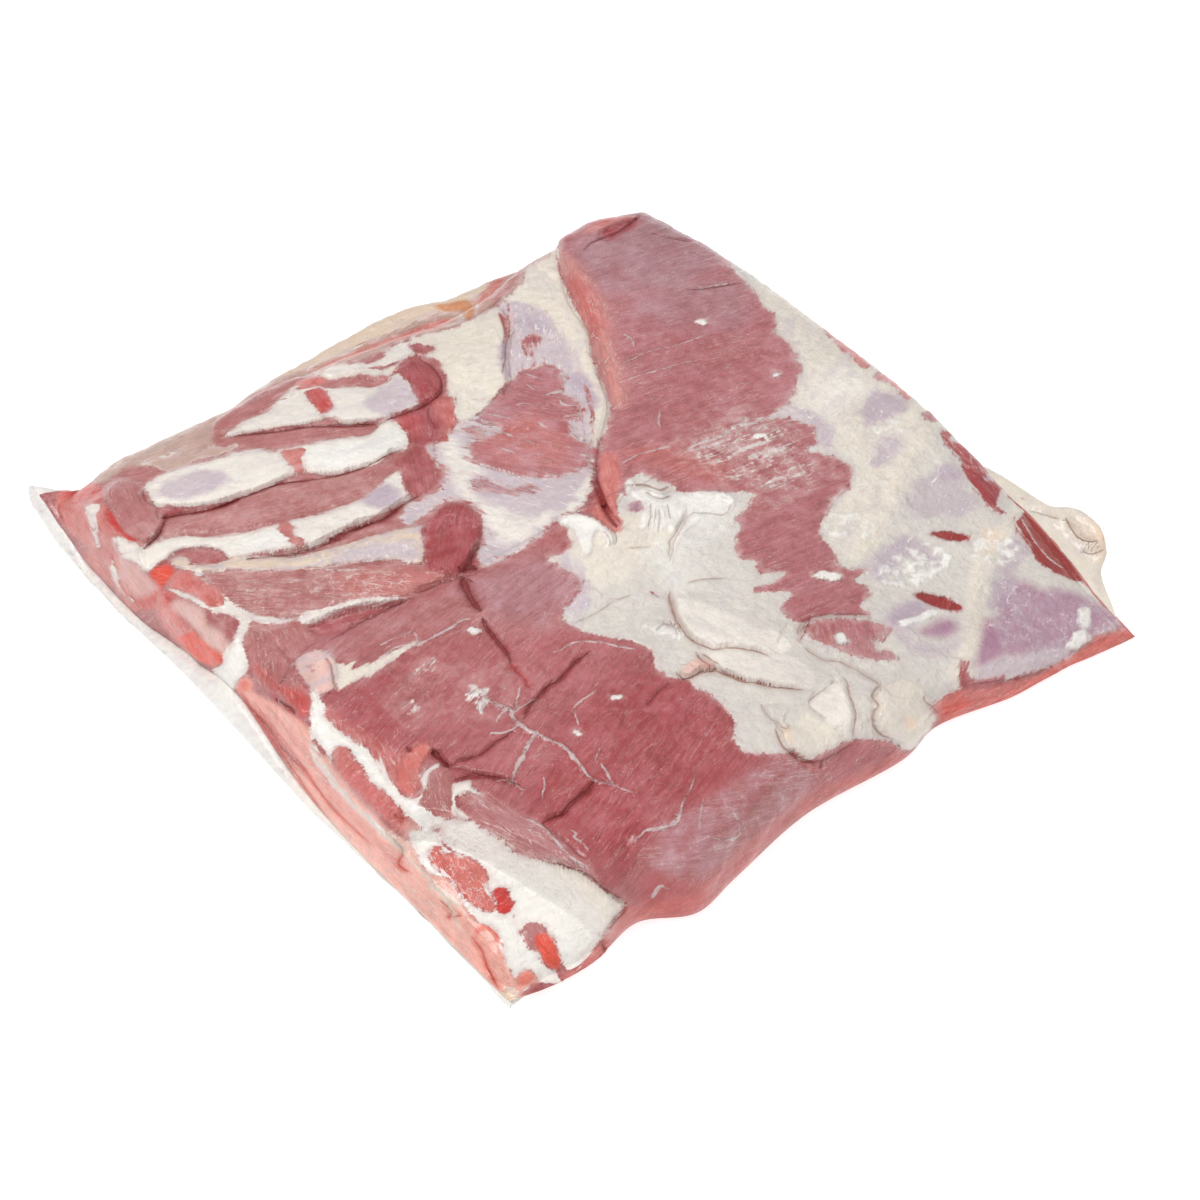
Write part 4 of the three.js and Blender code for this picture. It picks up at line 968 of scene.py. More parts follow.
STROKES: tuple[Stroke, ...] = (
    slit("slit under strip 2", "-137,113 -132,111 -125,108 -117,105 -109,104 -102,104", 1.5, -2.4, 1.0),
    slit("slit under strip 2, middle", "-105,104 -95,103 -85,102 -76,98 -68,94", 0.8, -1.6, 0.95),
    slit("slit under strip 2, right", "-71,95 -60,91 -50,89 -42,89 -35,90 -27,89", 0.7, -1.2, 0.8),
    slit("crease round the mauve muscle", "-134,113 -140,107 -145,103 -153,100", 1.0, -1.8, 0.8),
    slit("slit under strip 1", "-85,144 -75,139 -63,133 -50,127 -37,117 -27,111", 0.7, -1.4, 0.8),
    slit("slit under strip 1, right", "-29,111 -22,111 -13,110 -3,109 2,110", 0.6, -1.2, 0.8),
    slit("slit under strip 3, left", "-122,68 -113,63 -106,58 -100,58", 0.6, -1.2, 0.7),
    slit("slit in that groove", "-100,59 -92,57 -84,58 -76,56 -67,55 -57,56 -49,58 -41,58", 0.8, -1.4, 0.9),
    slit("dark line by the deep red pad", "-54,10 -54,5 -43,13 -38,16", 0.8, -1.2, 0.75),
    Stroke("crease left of strip 2", "-132,136 -136,128 -135,120 -138,114", 0.8, -1.2, 0.3),
    Stroke("groove under strip 3", "-114,65 -108,60 -100,57 -92,56 -84,55 -72,57 -62,54 -50,57 -42,58", 1.5,
        -2.2, 0.45, Tissue.LEAN, Tint.DEEP),
    Stroke("line right of finger 1", "-44,124 -38,120 -30,114 -24,111", 0.7, -1.2, 0.6),
    Stroke("crease round the deep pad", "16,141 17,130 14,119 8,112 0,110 -10,110", 0.8, -1.6, 0.75),
    Stroke("crease in the red band", "0,109 -5,102 -8,92", 0.6, -1.0, 0.4),
    Stroke("crease below the red pad", "-58,5 -48,10 -38,17 -30,26", 0.8, -1.2, 0.2),
    Stroke("crease of the long muscle", "46,42 36,32 28,22 22,10 18,0 17,-10", 1.3, -2.0, 0.3, Tissue.LEAN,
        Tint.BRIGHT),
    Stroke("crease in the cream", "67,148 63,138 58,129", 0.7, -0.8, 0.35, Tissue.LEAN, Tint.SALMON),
    Stroke("crease in the cream, dark", "64,131 58,128 54,124 46,114 40,108", 0.7, -1.0, 0.6),
    Stroke("crease high on the long muscle", "148,108 156,103 164,100 173,96", 0.9, -1.4, 0.5),
    thread("white lip of that crease", "154,105 160,103 168,100", 0.6, 0.8, Tint.PALE_PINK),
    Stroke("crease at the notch", "130,164 138,167 150,166 160,168 170,171", 0.9, -1.4, 0.6),
    Stroke("edge wrinkle", "165,156 170,146 176,138", 0.6, -0.8, 0.3),
    Stroke("crease under the curl of the flap", "170,-123 167,-129 165,-135 166,-140 170,-142", 0.9, -1.4,
        0.6),
    Stroke("fold of the flap", "160,-108 164,-115 167,-122", 0.7, -0.8, 0.3),
    Stroke("lower fold of the flap", "159,-142 162,-147 168,-148", 0.8, -1.0, 0.4),
    thread("white line over the front right muscle", "155,-112 150,-123 146,-136 146,-146", 0.4, 0.3),
    Stroke("fibre crease in the side flesh", "-167,0 -170,-20 -173,-41 -176,-62 -178,-81", 0.5, -0.5, 0.35,
        Tissue.LEAN, Tint.ORANGE),
    Stroke("second fibre crease", "-166,-7 -168,-27 -170,-48 -173,-71 -173,-88 -172,-103", 0.5, -0.5, 0.35,
        Tissue.LEAN, Tint.ORANGE),
    Stroke("third fibre crease", "-164,-103 -165,-111 -170,-115 -169,-121", 0.6, -0.6, 0.4, Tissue.LEAN,
        Tint.ORANGE),
    Stroke("fourth fibre crease", "-168,-139 -168,-147 -171,-148 -166,-150", 0.6, -0.6, 0.45, Tissue.LEAN,
        Tint.ORANGE),
    Stroke("fifth fibre crease", "-169,-160 -170,-168 -173,-176 -176,-187", 0.6, -0.6, 0.4, Tissue.LEAN,
        Tint.ORANGE),
    slit("gash", "-57,4 -59,-2 -62,-10 -63,-16 -63,-19", 2.6, -2.6, 0.85),
    slit("slit at the foot of the long muscle", "33,30 27,22 23,14 20,7 17,1 15,-5 14,-11", 0.9, -1.6, 0.9),
    slit("crease below the gash", "-65,-23 -67,-28 -68,-33 -69,-40 -70,-47 -72,-52", 1.2, -1.8, 0.75),
    Stroke("crease below the gash, end", "-72,-51 -73,-57 -73,-61 -74,-65 -75,-68", 0.7, -1.0, 0.4,
        Tissue.LEAN, Tint.BRIGHT),
    slit("middle crease", "-42,-66 -49,-67 -55,-69 -62,-72 -68,-72 -73,-74 -79,-76 -83,-78 -87,-81", 1.2,
        -2.0, 0.75),
    slit("middle crease, left", "-94,-84 -98,-85 -102,-85 -107,-86 -112,-87 -117,-86 -121,-85", 0.9, -1.4,
        0.6),
    Stroke("wrinkle behind the flap", "-116,-86 -120,-84 -123,-85 -125,-85", 0.8, -1.0, 0.6),
    slit("lower crease", "-86,-125 -91,-128 -97,-129 -102,-130 -106,-132 -110,-131 -115,-131", 1.4, -2.2,
        0.75),
    Stroke("crease at the fat", "-28,-100 -34,-101 -39,-103 -44,-105", 0.7, -1.0, 0.5),
    slit("hole under the flap", "-125,-73 -126,-77 -126,-81 -126,-85", 1.9, -2.6, 1.0),
    slit("wrinkle over the cut", "-126,-86 -122,-89 -119,-95 -116,-99 -114,-103", 0.7, -1.0, 0.5),
    Stroke("edge over the cut", "-115,-131 -115,-138 -114,-145 -114,-151 -113,-156", 0.8, -1.0, 0.4,
        Tissue.LEAN, Tint.DEEP),
    slit("diagonal crease", "-128,-92 -120,-96 -114,-102 -110,-110", 1.6, -1.6, 0.45),
    slit("nick by the flap", "-132,-66 -133,-69", 1.2, -1.2, 0.7),
    thread("long pale line", "-119,-124 -116,-134 -117,-150 -116,-160", 0.6, 0.3, Tint.PALE_PINK),
    Stroke("dark edge over the pad", "-123,-150 -121,-154 -118,-160 -117,-165 -117,-169 -116,-175 "
        "-115,-182", 0.9, -1.2, 0.75),
    slit("side crease", "-158,-12 -157,-17 -156,-21 -157,-24", 0.9, -1.4, 0.85),
    Stroke("edge of the cream", "-129,-4 -130,-8 -132,-13 -136,-21", 0.6, -0.7, 0.6),
    Stroke("under the back recess", "-122,4 -108,5 -92,5 -80,5", 0.9, -1.6, 0.6),
    Stroke("behind the front muscle", "-78,5 -66,5 -56,2 -46,2", 0.8, -1.2, 0.35),
    Stroke("dark crumb hole", "-54,7 -51,5 -49,3", 1.6, -1.4, 0.8),
    slit("red crease under the tongue flap", "-7,-108 -6,-112 -3,-117", 0.7, -0.6, 0.8),
    slit("second red crease under it", "0,-121 3,-125", 0.5, -0.5, 0.7),
    Stroke("hole in the curl", "-16,-101 -15,-102 -13,-103", 0.9, -1.4, 1.0),
    Stroke("crease under the bottom sheet", "-15,-158 -15,-163 -13,-168 -12,-173", 0.8, -1.2, 0.7,
        Tissue.LEAN, Tint.BRIGHT),
    slit("red squiggle by the island", "42,-104 39,-107 35,-108 34,-110 29,-113", 0.5, -0.6, 0.75),
    Stroke("dotted line over the middle fat", "15,-57 21,-59 26,-62 31,-65", 0.4, -0.5, 0.5),
    Stroke("island rim", "30,-112 35,-108 41,-106 48,-109 56,-115 61,-120", 0.6, 0.5, 0.15, Tissue.FAT,
        Tint.PALE_PINK),
    Stroke("first cream ridge", "64,-170 90,-149 106,-134 122,-122 158,-106", 5.0, 1.2),
    Stroke("second cream ridge", "80,-87 110,-70 132,-58 176,-32", 7.0, 1.4),
    thread("white vein, head", "-96,-56 -93,-57 -91,-59 -91,-61 -94,-62 -96,-65 -98,-67", 1.7, 1.0),
    thread("white vein, neck", "-92,-61 -91,-66 -90,-70 -88,-74 -90,-78 -90,-83 -89,-88 -87,-91", 1.15, 0.8),
    thread("white vein, up", "-77,-65 -80,-68 -83,-71 -86,-75", 0.5, 0.3),
    thread("white vein, side threads", "-76,-74 -80,-75 -84,-75 -87,-76", 0.5, 0.3),
    thread("white vein, left arm", "-103,-80 -101,-80 -99,-82 -96,-83 -92,-83", 0.6, 0.5),
    thread("white vein, left arm end", "-97,-76 -94,-74 -91,-73 -88,-74", 0.4, 0.2),
    thread("white vein, long leg", "-87,-90 -91,-92 -96,-95 -100,-98 -105,-101 -109,-104 -113,-107", 1.1,
        0.7),
    thread("white vein, toes", "-117,-102 -114,-103 -111,-105 -111,-110 -110,-113", 0.4, 0.3),
    thread("white vein, right leg", "-87,-92 -86,-97 -84,-102 -84,-108 -85,-115 -86,-122 -85,-126 -83,-129 "
        "-81,-132", 0.95, 0.7),
    thread("white vein, right heel", "-78,-119 -79,-123 -80,-127 -81,-131", 0.6, 0.4),
    thread("white vein, right thread", "-81,-132 -79,-137 -77,-141", 0.35, 0.2),
    thread("white vein, small side", "-73,-112 -77,-115 -79,-117", 0.5, 0.3),
    thread("thread of the far side", "-69,-90 -70,-93 -72,-97", 0.4, 0.2),
    thread("thread up the far side", "-70,-90 -65,-87 -57,-86 -53,-85", 0.35, 0.2),
    thread("fascia line", "-112,-17 -105,-16 -100,-17 -96,-20 -90,-20 -85,-20 -79,-20 -74,-19 -69,-20", 0.8,
        0.4),
    thread("second fascia line", "-108,-11 -103,-11 -97,-11 -92,-12", 0.5, 0.3),
    thread("rim of the far fascia", "-55,-57 -51,-58 -47,-57 -43,-58 -39,-61 -35,-65 -31,-71 -27,-76", 0.5,
        0.3),
    thread("thread by the seam", "-92,-13 -93,-16 -95,-19", 0.4, 0.2),
    thread("thread to the front", "-100,-111 -102,-115 -105,-118 -108,-121", 0.35, 0.2),
    thread("thread by the sheen", "-53,-146 -58,-150 -66,-155 -71,-159 -78,-161 -84,-160", 0.45, 0.2),
    thread("spur at the front", "-109,-140 -108,-143 -110,-144 -109,-148 -110,-153", 0.5, 0.3),
    thread("sheen edge", "-94,-160 -86,-158 -76,-162 -70,-158", 0.7, 0.5, Tint.PALE_PINK),
    thread("sheen thread", "-70,-170 -65,-164 -58,-158", 0.4, 0.2, Tint.PALE_PINK),
    thread("sheen loop", "-70,-174 -66,-180 -60,-181 -56,-176 -54,-170", 0.4, 0.2, Tint.PALE_PINK),
    thread("corner thread", "-106,-186 -100,-183 -98,-186", 0.8, 0.5, Tint.PALE_PINK),
    *WISPS,
    thread("thread on the long muscle", "78,70 90,68 104,65 116,62", 0.4, 0.2, Tint.PALE_PINK),
    thread("second thread", "88,80 104,80 118,76 134,74", 0.35, 0.2, Tint.PALE_PINK),
    thread("third thread", "103,98 103,92 100,87", 0.6, 0.3, Tint.LILAC),
    Stroke("slit in the curls", "38,7 41,5 43,1 45,-3 49,-3", 0.9, -1.0, 0.7),
    Stroke("lower slit in the curls", "39,0 39,-4 42,-8 46,-8", 0.7, -0.8, 0.5),
    Stroke("first fold of the curls", "36,-7 31,-13 25,-19", 0.6, -0.7, 0.3),
    Stroke("second fold of the curls", "36,-12 32,-18 26,-24", 0.5, -0.6, 0.25),
    Stroke("third fold of the curls", "41,-12 36,-20", 0.5, -0.6, 0.25),
    Stroke("fold of the left ribbon", "4,-19 7,-15 8,-10", 0.5, -0.6, 0.3),
    Stroke("shade left of the standing fold", "40,-25 33,-29 26,-33 20,-40", 1.4, -0.9, 0.3),
    Stroke("long thin line in the middle fat", "-39,-48 -28,-49 -19,-48 -12,-48 -7,-49", 0.3, -0.4, 0.45),
    Stroke("short dotted line", "9,-24 12,-26 15,-28 18,-30", 0.3, -0.4, 0.5),
    Stroke("red speck in the middle fat", "0,-52 0,-54 0,-57", 0.8, -0.3, 0.3, Tissue.LEAN, Tint.SALMON),
    Stroke("cream foot of the side flesh", "-174,-40 -179,-59 -181,-77 -182,-96 -181,-113 -180,-128 "
        "-178,-143 -179,-161 -179,-178", 0.6, 0.2, 0.0, Tissue.LEAN, Tint.CREAM),
    Stroke("pale streak in the side flesh", "-167,-96 -165,-102 -163,-112", 1.4, 0.2, 0.0, Tissue.LEAN,
        Tint.CREAM),
    Stroke("second pale streak", "-168,-130 -165,-137 -164,-148", 1.5, 0.2, 0.0, Tissue.LEAN, Tint.CREAM),
    Stroke("thin pale line in the side flesh", "-159,-38 -163,-49 -166,-70 -166,-86 -165,-107 -165,-120 "
        "-166,-139 -171,-158", 0.6, 0.2, 0.0, Tissue.LEAN, Tint.CREAM),
    Stroke("red line in the side flesh", "-169,-9 -169,-23 -171,-38 -171,-54", 0.5, -0.5, 0.8, Tissue.LEAN,
        Tint.BRIGHT),
    thread("fourth thread", "42,22 52,23 60,21 68,19", 0.6, 0.3, Tint.PALE_PINK),
    thread("fifth thread", "72,32 74,36 80,42", 0.4, 0.2, Tint.PALE_PINK),
    Stroke("bright crease in the flank foot", "63,-173 72,-177 84,-183 96,-186", 0.7, -0.8, 0.25,
        Tissue.LEAN, Tint.DEEP),
)

CRUMBS: tuple[Crumbs, ...] = (
    Crumbs("flakes by the lilac field", "83,-62 96,-60 105,-72 98,-82 86,-78", 2.6, 0.9, 0.42, 3),
    Crumbs("flakes in the middle", "78,-96 92,-94 112,-98 115,-112 98,-120 84,-116", 2.8, 1.0, 0.46, 4),
    Crumbs("flakes by the ridge", "145,-26 158,-26 158,-36 147,-36", 2.0, 0.8, 0.45, 5),
    Crumbs("flakes on the membrane", "120,-112 140,-110 142,-126 126,-130", 2.4, 0.7, 0.4, 6),
    Crumbs("row of flakes", "70,-131 86,-134", 2.4, 0.9, seed=7),
    Crumbs("lump at the front right", "134,-170 127,-176", 3.0, 1.3, seed=8),
    Crumbs("lump at the front right, foot", "122,-180 116,-183", 4.2, 1.4, seed=18),
    Crumbs("large crumb on the tongue", "63,-88 65,-90", 4.2, 1.6, seed=9),
    Crumbs("crumb on the island", "44,-121 43,-123", 3.2, 1.2, seed=10),
    Crumbs("crumb on the front muscle", "-73,-26 -72,-27", 2.4, 1.0, seed=11),
    Crumbs("patch of bloom on the front muscle", "-82,-57 -78,-56 -76,-59 -79,-60 -83,-59", 1.2, 0.4, 0.3,
        31),
    Crumbs("bloom at the left", "-106,-32 -93,-28 -96,-35 -107,-38", 0.9, 0.3, 0.2, 32),
    Crumbs("bloom below it", "-118,-39 -114,-41 -117,-53 -121,-51", 0.9, 0.3, 0.25, 33),
    Crumbs("white head of the vein", "-97,-56 -93,-55 -89,-58 -91,-62 -98,-68 -99,-65 -98,-61", 1.7, 0.8,
        0.75, 34),
    Crumbs("crumb on the front muscle, middle", "-75,-100 -75,-101", 1.8, 0.8, seed=12),
    Crumbs("crumb by the crease", "-51,-93 -50,-94", 1.8, 0.8, seed=21),
    Crumbs("crumb on the long muscle", "137,84 138,83", 2.2, 0.8, seed=13),
    Crumbs("crumb below it", "139,31 138,30", 2.0, 0.7, seed=14),
    Crumbs("crumb by the fat", "103,1 105,-1", 2.6, 1.0, seed=15),
    Crumbs("crumb on the thin fat", "-12,-72 -8,-79", 3.2, 1.0, seed=16),
    Crumbs("strip on the thin fat", "-4,-133 -6,-139 -7,-145", 2.4, 0.8, seed=17),
    Crumbs("frosty crumbs", "74,12 104,16 114,-10 104,-36 84,-34 72,-12", 0.9, 0.4, 0.16, 19),
    Crumbs("crumbs by the ribs", "-150,110 -120,70 -100,40 -60,30 -90,60", 0.9, 0.4, 0.1, 20),
)


@dataclass(frozen=True)
class DrawingPlane:
    """The slanted drawing: a place is drawn where its line from the eye point meets a level plane.

    Attributes:
        eye: the eye point in the drawing frame, in mm.
        level: height of the plane, in mm.
        low: lowest x and y that the map covers.
        high: highest x and y.
        cell: size of a map cell.
    """

    eye: tuple[float, float, float] = (-523.9, -697.6, 765.4)
    level: float = 35.0
    low: tuple[float, float] = (-200.0, -225.0)
    high: tuple[float, float] = (215.0, 225.0)
    cell: float = 0.5

    def of(self, places: np.ndarray) -> np.ndarray:
        """Drawing coordinates of places in space.

        Args:
            places: rows of x, y, z in the drawing frame, in mm.

        Returns:
            Rows of x and y on the plane.
        """
        eye = np.asarray(self.eye)
        share = (self.level - eye[2]) / (places[..., 2] - eye[2])
        return eye[:2] + (places[..., :2] - eye[:2]) * share[..., None]


PLANE = DrawingPlane()
# In mm: the distance kept where no line is near, how far from its edge a region is worked out, and
# the run of a dome. The last is the step between the numbers that set two regions' fibres apart.
FAR_OFF = 9.0
REGION_REACH = 13.0
DOME_RUN = 7.0
OWN_STEP = 7.3


@dataclass(frozen=True)
class Line:
    """Layers that hold thin lines.

    Attributes:
        offset: distance to the nearest line, negative on its right.
        half: half its width.
        strength: how strong it is.
    """

    offset: np.ndarray
    half: np.ndarray
    strength: np.ndarray

    @classmethod
    def blank(cls, like: np.ndarray) -> "Line":
        """No lines yet."""
        return cls(np.full_like(like, FAR_OFF), np.zeros_like(like), np.zeros_like(like))

    def draw(self, window: Window, signed: np.ndarray, width: np.ndarray, strength: float) -> None:
        """Adds one line wherever it is nearer than the lines before it.

        Args:
            window: the cells round the line.
            signed: distance to it, negative on its right.
            width: half its width, cell by cell.
            strength: how strong it is.
        """
        gap = np.abs(signed) - width
        mine = gap < np.abs(self.offset[window]) - self.half[window]
        for layer, value in (
            (self.offset, signed), (self.half, width * ease(2.6, 1.2, gap)),
            (self.strength, np.full_like(width, strength)),
        ):
            layer[window][mine] = value[mine]


class TissueMap:
    """Everything the drawing says, as layers over the drawing plane."""

    PLAIN = {
        "relief": 0.0, "rim": -10.0, "shade": 0.0, "marble": 0.3, "torn": 0.22, "veil": 0.3, "frost": 0.0,
    }

    def __init__(self, plane: DrawingPlane) -> None:
        """Makes plain layers: lean everywhere, no relief.

        Args:
            plane: the drawing plane.
        """
        self.plane = plane
        xs = np.arange(plane.low[0], plane.high[0], plane.cell)
        ys = np.arange(plane.low[1], plane.high[1], plane.cell)
        self.x, self.y = np.meshgrid(xs, ys, indexing="ij")
        self.layer = {name: np.full_like(self.x, value) for name, value in self.PLAIN.items()}
        # Crease lines, which the finish darkens as painted shade, and pale vein lines.
        self.crease, self.vein = Line.blank(self.x), Line.blank(self.x)
        self.turn, self.own = np.zeros_like(self.x), np.zeros_like(self.x)
        self.meat, self.fat = (np.ones(self.x.shape + (3,)) * tint.linear for tint in (Tint.DUSTY, Tint.BONE))
        self.ragged = Noise(11).octaves(self.x, self.y, 7.0, 4)

    def _field(self, curve: PlanCurve, reach: float) -> tuple[Window, np.ndarray, np.ndarray, np.ndarray]:
        """Distances of the cells round a curve.

        Every cut of the curve is measured only by the cells within reach of it. A closed curve
        tells inside from outside by counting crossings.

        Args:
            curve: the curve.
            reach: distance past which cells keep the reach as their distance.

        Returns:
            The window of cells, and their distance, side and share of the curve's length.
        """
        low_x, high_x, low_y, high_y = curve.box(reach)
        xs, ys = self.x[:, 0], self.y[0]
        window = span(xs, low_x, high_x), span(ys, low_y, high_y)
        x, y = self.x[window], self.y[window]
        xs, ys = xs[window[0]], ys[window[1]]
        best, side, share = np.full(x.shape, reach**2), np.ones(x.shape), np.zeros(x.shape)
        inside = np.zeros(x.shape, bool)
        for i, ((ax, ay), (bx, by)) in enumerate(zip(curve.points[:-1], curve.points[1:])):
            low_x, high_x, low_y, high_y = min(ax, bx), max(ax, bx), min(ay, by), max(ay, by)
            near = span(xs, low_x - reach, high_x + reach), span(ys, low_y - reach, high_y + reach)
            found = curve.cut(i, x[near], y[near])
            mine = found[0] < best[near]
            for old, new in zip((best, side, share), found):
                old[near] = np.where(mine, new, old[near])
            if curve.closed:
                rows = span(ys, low_y, high_y)
                slope = (bx - ax) * (y[:, rows] - ay) / ((by - ay) or 1.0)
                inside[:, rows] ^= x[:, rows] < ax + slope
        if curve.closed:
            side = np.where(inside, 1.0, -1.0)
        return window, np.sqrt(best), side, share

    def region(self, item: Region, index: int) -> None:
        """Lays one region over what is there.

        The signed distance from its edge, made ragged by noise, moves the border between lean
        and fat, fades its colour in and raises its shoulder and its dome.

        Args:
            item: the region.
            index: its place in the list, which sets its fibres apart.
        """
        curve = PlanCurve(item.outline, closed=True)
        window, distance, side, _ = self._field(curve, REGION_REACH)
        depth = distance * side + item.ragged * self.ragged[window]
        if not item.paint_only:
            rim = self.layer["rim"][window]
            rim[...] = np.maximum(rim, depth) if item.tissue is Tissue.FAT else np.minimum(rim, -depth)
        spread = ease(-item.soft, item.soft, depth)
        paint = (self.fat if item.tissue is Tissue.FAT else self.meat)[window]
        paint += (item.tint.linear - paint) * (spread * item.strength)[..., None]
        for name in ("marble", "torn", "veil", "frost"):
            value = getattr(item, name)
            if value is not None:
                self.layer[name][window] += (value - self.layer[name][window]) * spread
        if item.grain is not None:
            self.turn[window][depth > 0] = math.radians(item.grain)
            self.own[window][depth > 0] = index * OWN_STEP
        relief = self.layer["relief"][window]
        if item.rise or item.dome:
            run = max(item.shoulder / 2, 0.9 * abs(item.rise))
            relief += item.rise * ease(-run, run, depth)
            relief += item.dome * (1 - np.exp(-np.maximum(depth, 0) / DOME_RUN))

    def lip(self, item: Lip) -> None:
        """Raises one lip: steep on the right of its line, sinking back on the left, thin at its ends.

        Args:
            item: the lip.
        """
        window, distance, side, share = self._field(PlanCurve(item.line), item.fade * 2.0)
        offset = distance * side + 0.4 * self.ragged[window]
        ends = ease(0, 0.12, share) * ease(1, 0.88, share)
        run = max(item.sharp, abs(item.height))
        rise = ease(-run, run, offset) * np.exp(-((np.maximum(offset, 0) / item.fade) ** 2))
        crease = np.exp(-(((offset + run * 0.9) / 1.6) ** 2)) * ends
        self.layer["relief"][window] += item.height * ends * rise - 0.5 * crease
        # Painted shade: a soft dark band along the crease at the lip's foot, and a thin dark line in it.
        shade = self.layer["shade"][window]
        shade[...] = np.maximum(shade, crease * item.shade * 0.6)
        self.crease.draw(window, offset + run, 0.35 * ends * (1 + 0.6 * self.ragged[window]), item.shade)

    def stroke(self, item: Stroke) -> None:
        """Draws one crease, ridge or vein, tapering at its ends.

        Args:
            item: the stroke.
        """
        window, distance, side, share = self._field(PlanCurve(item.line, step=1.5), item.half * 3 + 4)
        taper = np.sqrt(np.clip(np.minimum(share, 1 - share) * 6, 0, 1))
        uneven = np.clip(1 + 0.9 * self.ragged[window], 0.3, 2)
        width = item.half * (0.35 + 0.65 * taper) * (taper > 0) * uneven
        bell = np.exp(-((distance / np.maximum(width, 1.0)) ** 2))
        self.layer["relief"][window] += item.height * bell * taper
        signed = distance * side + 0.5 * self.ragged[window]
        if item.tissue is Tissue.FAT:
            self.vein.draw(window, signed, width * 0.75, 1.0)
        elif item.shade > 0:
            # Painted shade: a thin dark line and a soft dark band along the crease.
            self.crease.draw(window, signed, width * 0.5, item.shade)
            shade = self.layer["shade"][window]
            shade[...] = np.maximum(shade, 0.45 * item.shade * bell * taper)
        if item.tint is not None and item.tissue is Tissue.LEAN:
            self.meat[window] += (item.tint.linear - self.meat[window]) * (0.8 * bell * taper)[..., None]
        if item.tissue is Tissue.LEAN:
            rim = self.layer["rim"][window]
            rim[...] = np.minimum(rim, distance - width * 0.8)

    def crumbs(self, item: Crumbs) -> None:
        """Strews crumbs: thin ragged flakes of white fat wherever a noise is above its threshold.

        Args:
            item: where they lie and how big they are.
        """
        closed = len(item.outline.split()) > 2
        window, distance, side, _ = self._field(PlanCurve(item.outline, closed=closed), item.size * 2 + 5)
        noise = Noise(item.seed).octaves(self.x[window], self.y[window], item.size * 2.2, 4)
        if closed:
            depth = noise + item.fill - 0.5 - 0.9 * ease(2.5, -4.0, distance * side)
        else:
            depth = 0.8 - distance / item.size + 0.9 * noise
        depth *= item.size * 1.6
        self.layer["rim"][window] = np.maximum(self.layer["rim"][window], depth)
        uneven = 0.8 + 0.5 * self.ragged[window]
        self.layer["relief"][window] += item.height * ease(-0.2, 0.9, depth) * uneven
        self.fat[window] += (Tint.WHITE.linear - self.fat[window]) * ease(-0.6, 0.4, depth)[..., None]

    def roughen(self) -> None:
        """Adds the fine relief: fibres on the lean, folds and lumps on the fat."""
        fat = ease(-0.6, 0.8, self.layer["rim"])
        cosine, sine = np.cos(self.turn), np.sin(self.turn)
        along, across = self.x * cosine + self.y * sine, self.y * cosine - self.x * sine
        strands = Noise(21).octaves(along * 0.16 + self.own, across, 4.0, 3)
        for axis in (0, 1):
            strands = sum(np.roll(strands, k, axis) for k in range(-2, 3)) / 5
        folds = 1 - 2 * np.abs(Noise(22).octaves(self.x, self.y, 11.0, 4))
        lumps = Noise(23).octaves(self.x, self.y, 5.0, 3)
        fine = (1 - fat) * (0.5 * strands + 0.35 * lumps)
        self.layer["relief"] += fine + fat * (0.35 * folds - 0.2 + 0.5 * lumps)

    def read(self, layer: np.ndarray, places: np.ndarray) -> np.ndarray:
        """Reads a layer between its cells.

        Args:
            layer: one of the map's layers, plain or colour.
            places: rows of drawing x and y.

        Returns:
            The layer's values there.
        """
        px = np.clip((places[..., 0] - self.plane.low[0]) / self.plane.cell, 0, layer.shape[0] - 1.001)
        py = np.clip((places[..., 1] - self.plane.low[1]) / self.plane.cell, 0, layer.shape[1] - 1.001)
        ix, iy = px.astype(int), py.astype(int)
        fx, fy = px - ix, py - iy
        if layer.ndim == 3:
            fx, fy = fx[..., None], fy[..., None]
        low = layer[ix, iy] * (1 - fx) + layer[ix + 1, iy] * fx
        high = layer[ix, iy + 1] * (1 - fx) + layer[ix + 1, iy + 1] * fx
        return low * (1 - fy) + high * fy

    def look(self, spots: np.ndarray) -> Look:
        """The look that the drawing gives to some points.

        Args:
            spots: rows of drawing coordinates.

        Returns:
            Point attributes by name; the third number of the films isn't used.
        """
        layer = self.layer
        # Painted shade beside the creases goes to the finish together with the marble and the frost.
        triples = {
            "marks": (layer["marble"], layer["shade"], layer["frost"]),
            "films": (layer["torn"], layer["veil"], layer["veil"]),
            "crease": (self.crease.offset, self.crease.half, self.crease.strength),
            "vein": (self.vein.offset, self.vein.half, self.vein.strength),
        }
        fields = {"meat": self.meat, "fat": self.fat, "rim": layer["rim"]}
        fields |= {name: np.stack(three, -1) for name, three in triples.items()}
        return {name: self.read(values, spots) for name, values in fields.items()}

    def comb(self, spots: np.ndarray) -> Look:
        """The way the fibres run at some places, from the nearest cell, so that it never blends.

        Drawing coordinates shift with height by the slant of the lines from the eye point, and so
        do both directions.

        Args:
            spots: rows of drawing coordinates.

        Returns:
            Directions along and across the fibres, and a number of their own.
        """
        cell = np.rint((spots - np.array(self.plane.low)) / self.plane.cell).astype(int)
        i, j = np.clip(cell[:, 0], 0, self.x.shape[0] - 1), np.clip(cell[:, 1], 0, self.x.shape[1] - 1)
        cosine, sine = np.cos(self.turn[i, j]), np.sin(self.turn[i, j])
        slant_x, slant_y = (-part / (self.plane.eye[2] - self.plane.level) for part in self.plane.eye[:2])
        return {
            "along": np.stack([cosine, sine, cosine * slant_x + sine * slant_y], -1),
            "across": np.stack([-sine, cosine, cosine * slant_y - sine * slant_x], -1),
            "own": self.own[i, j],
        }

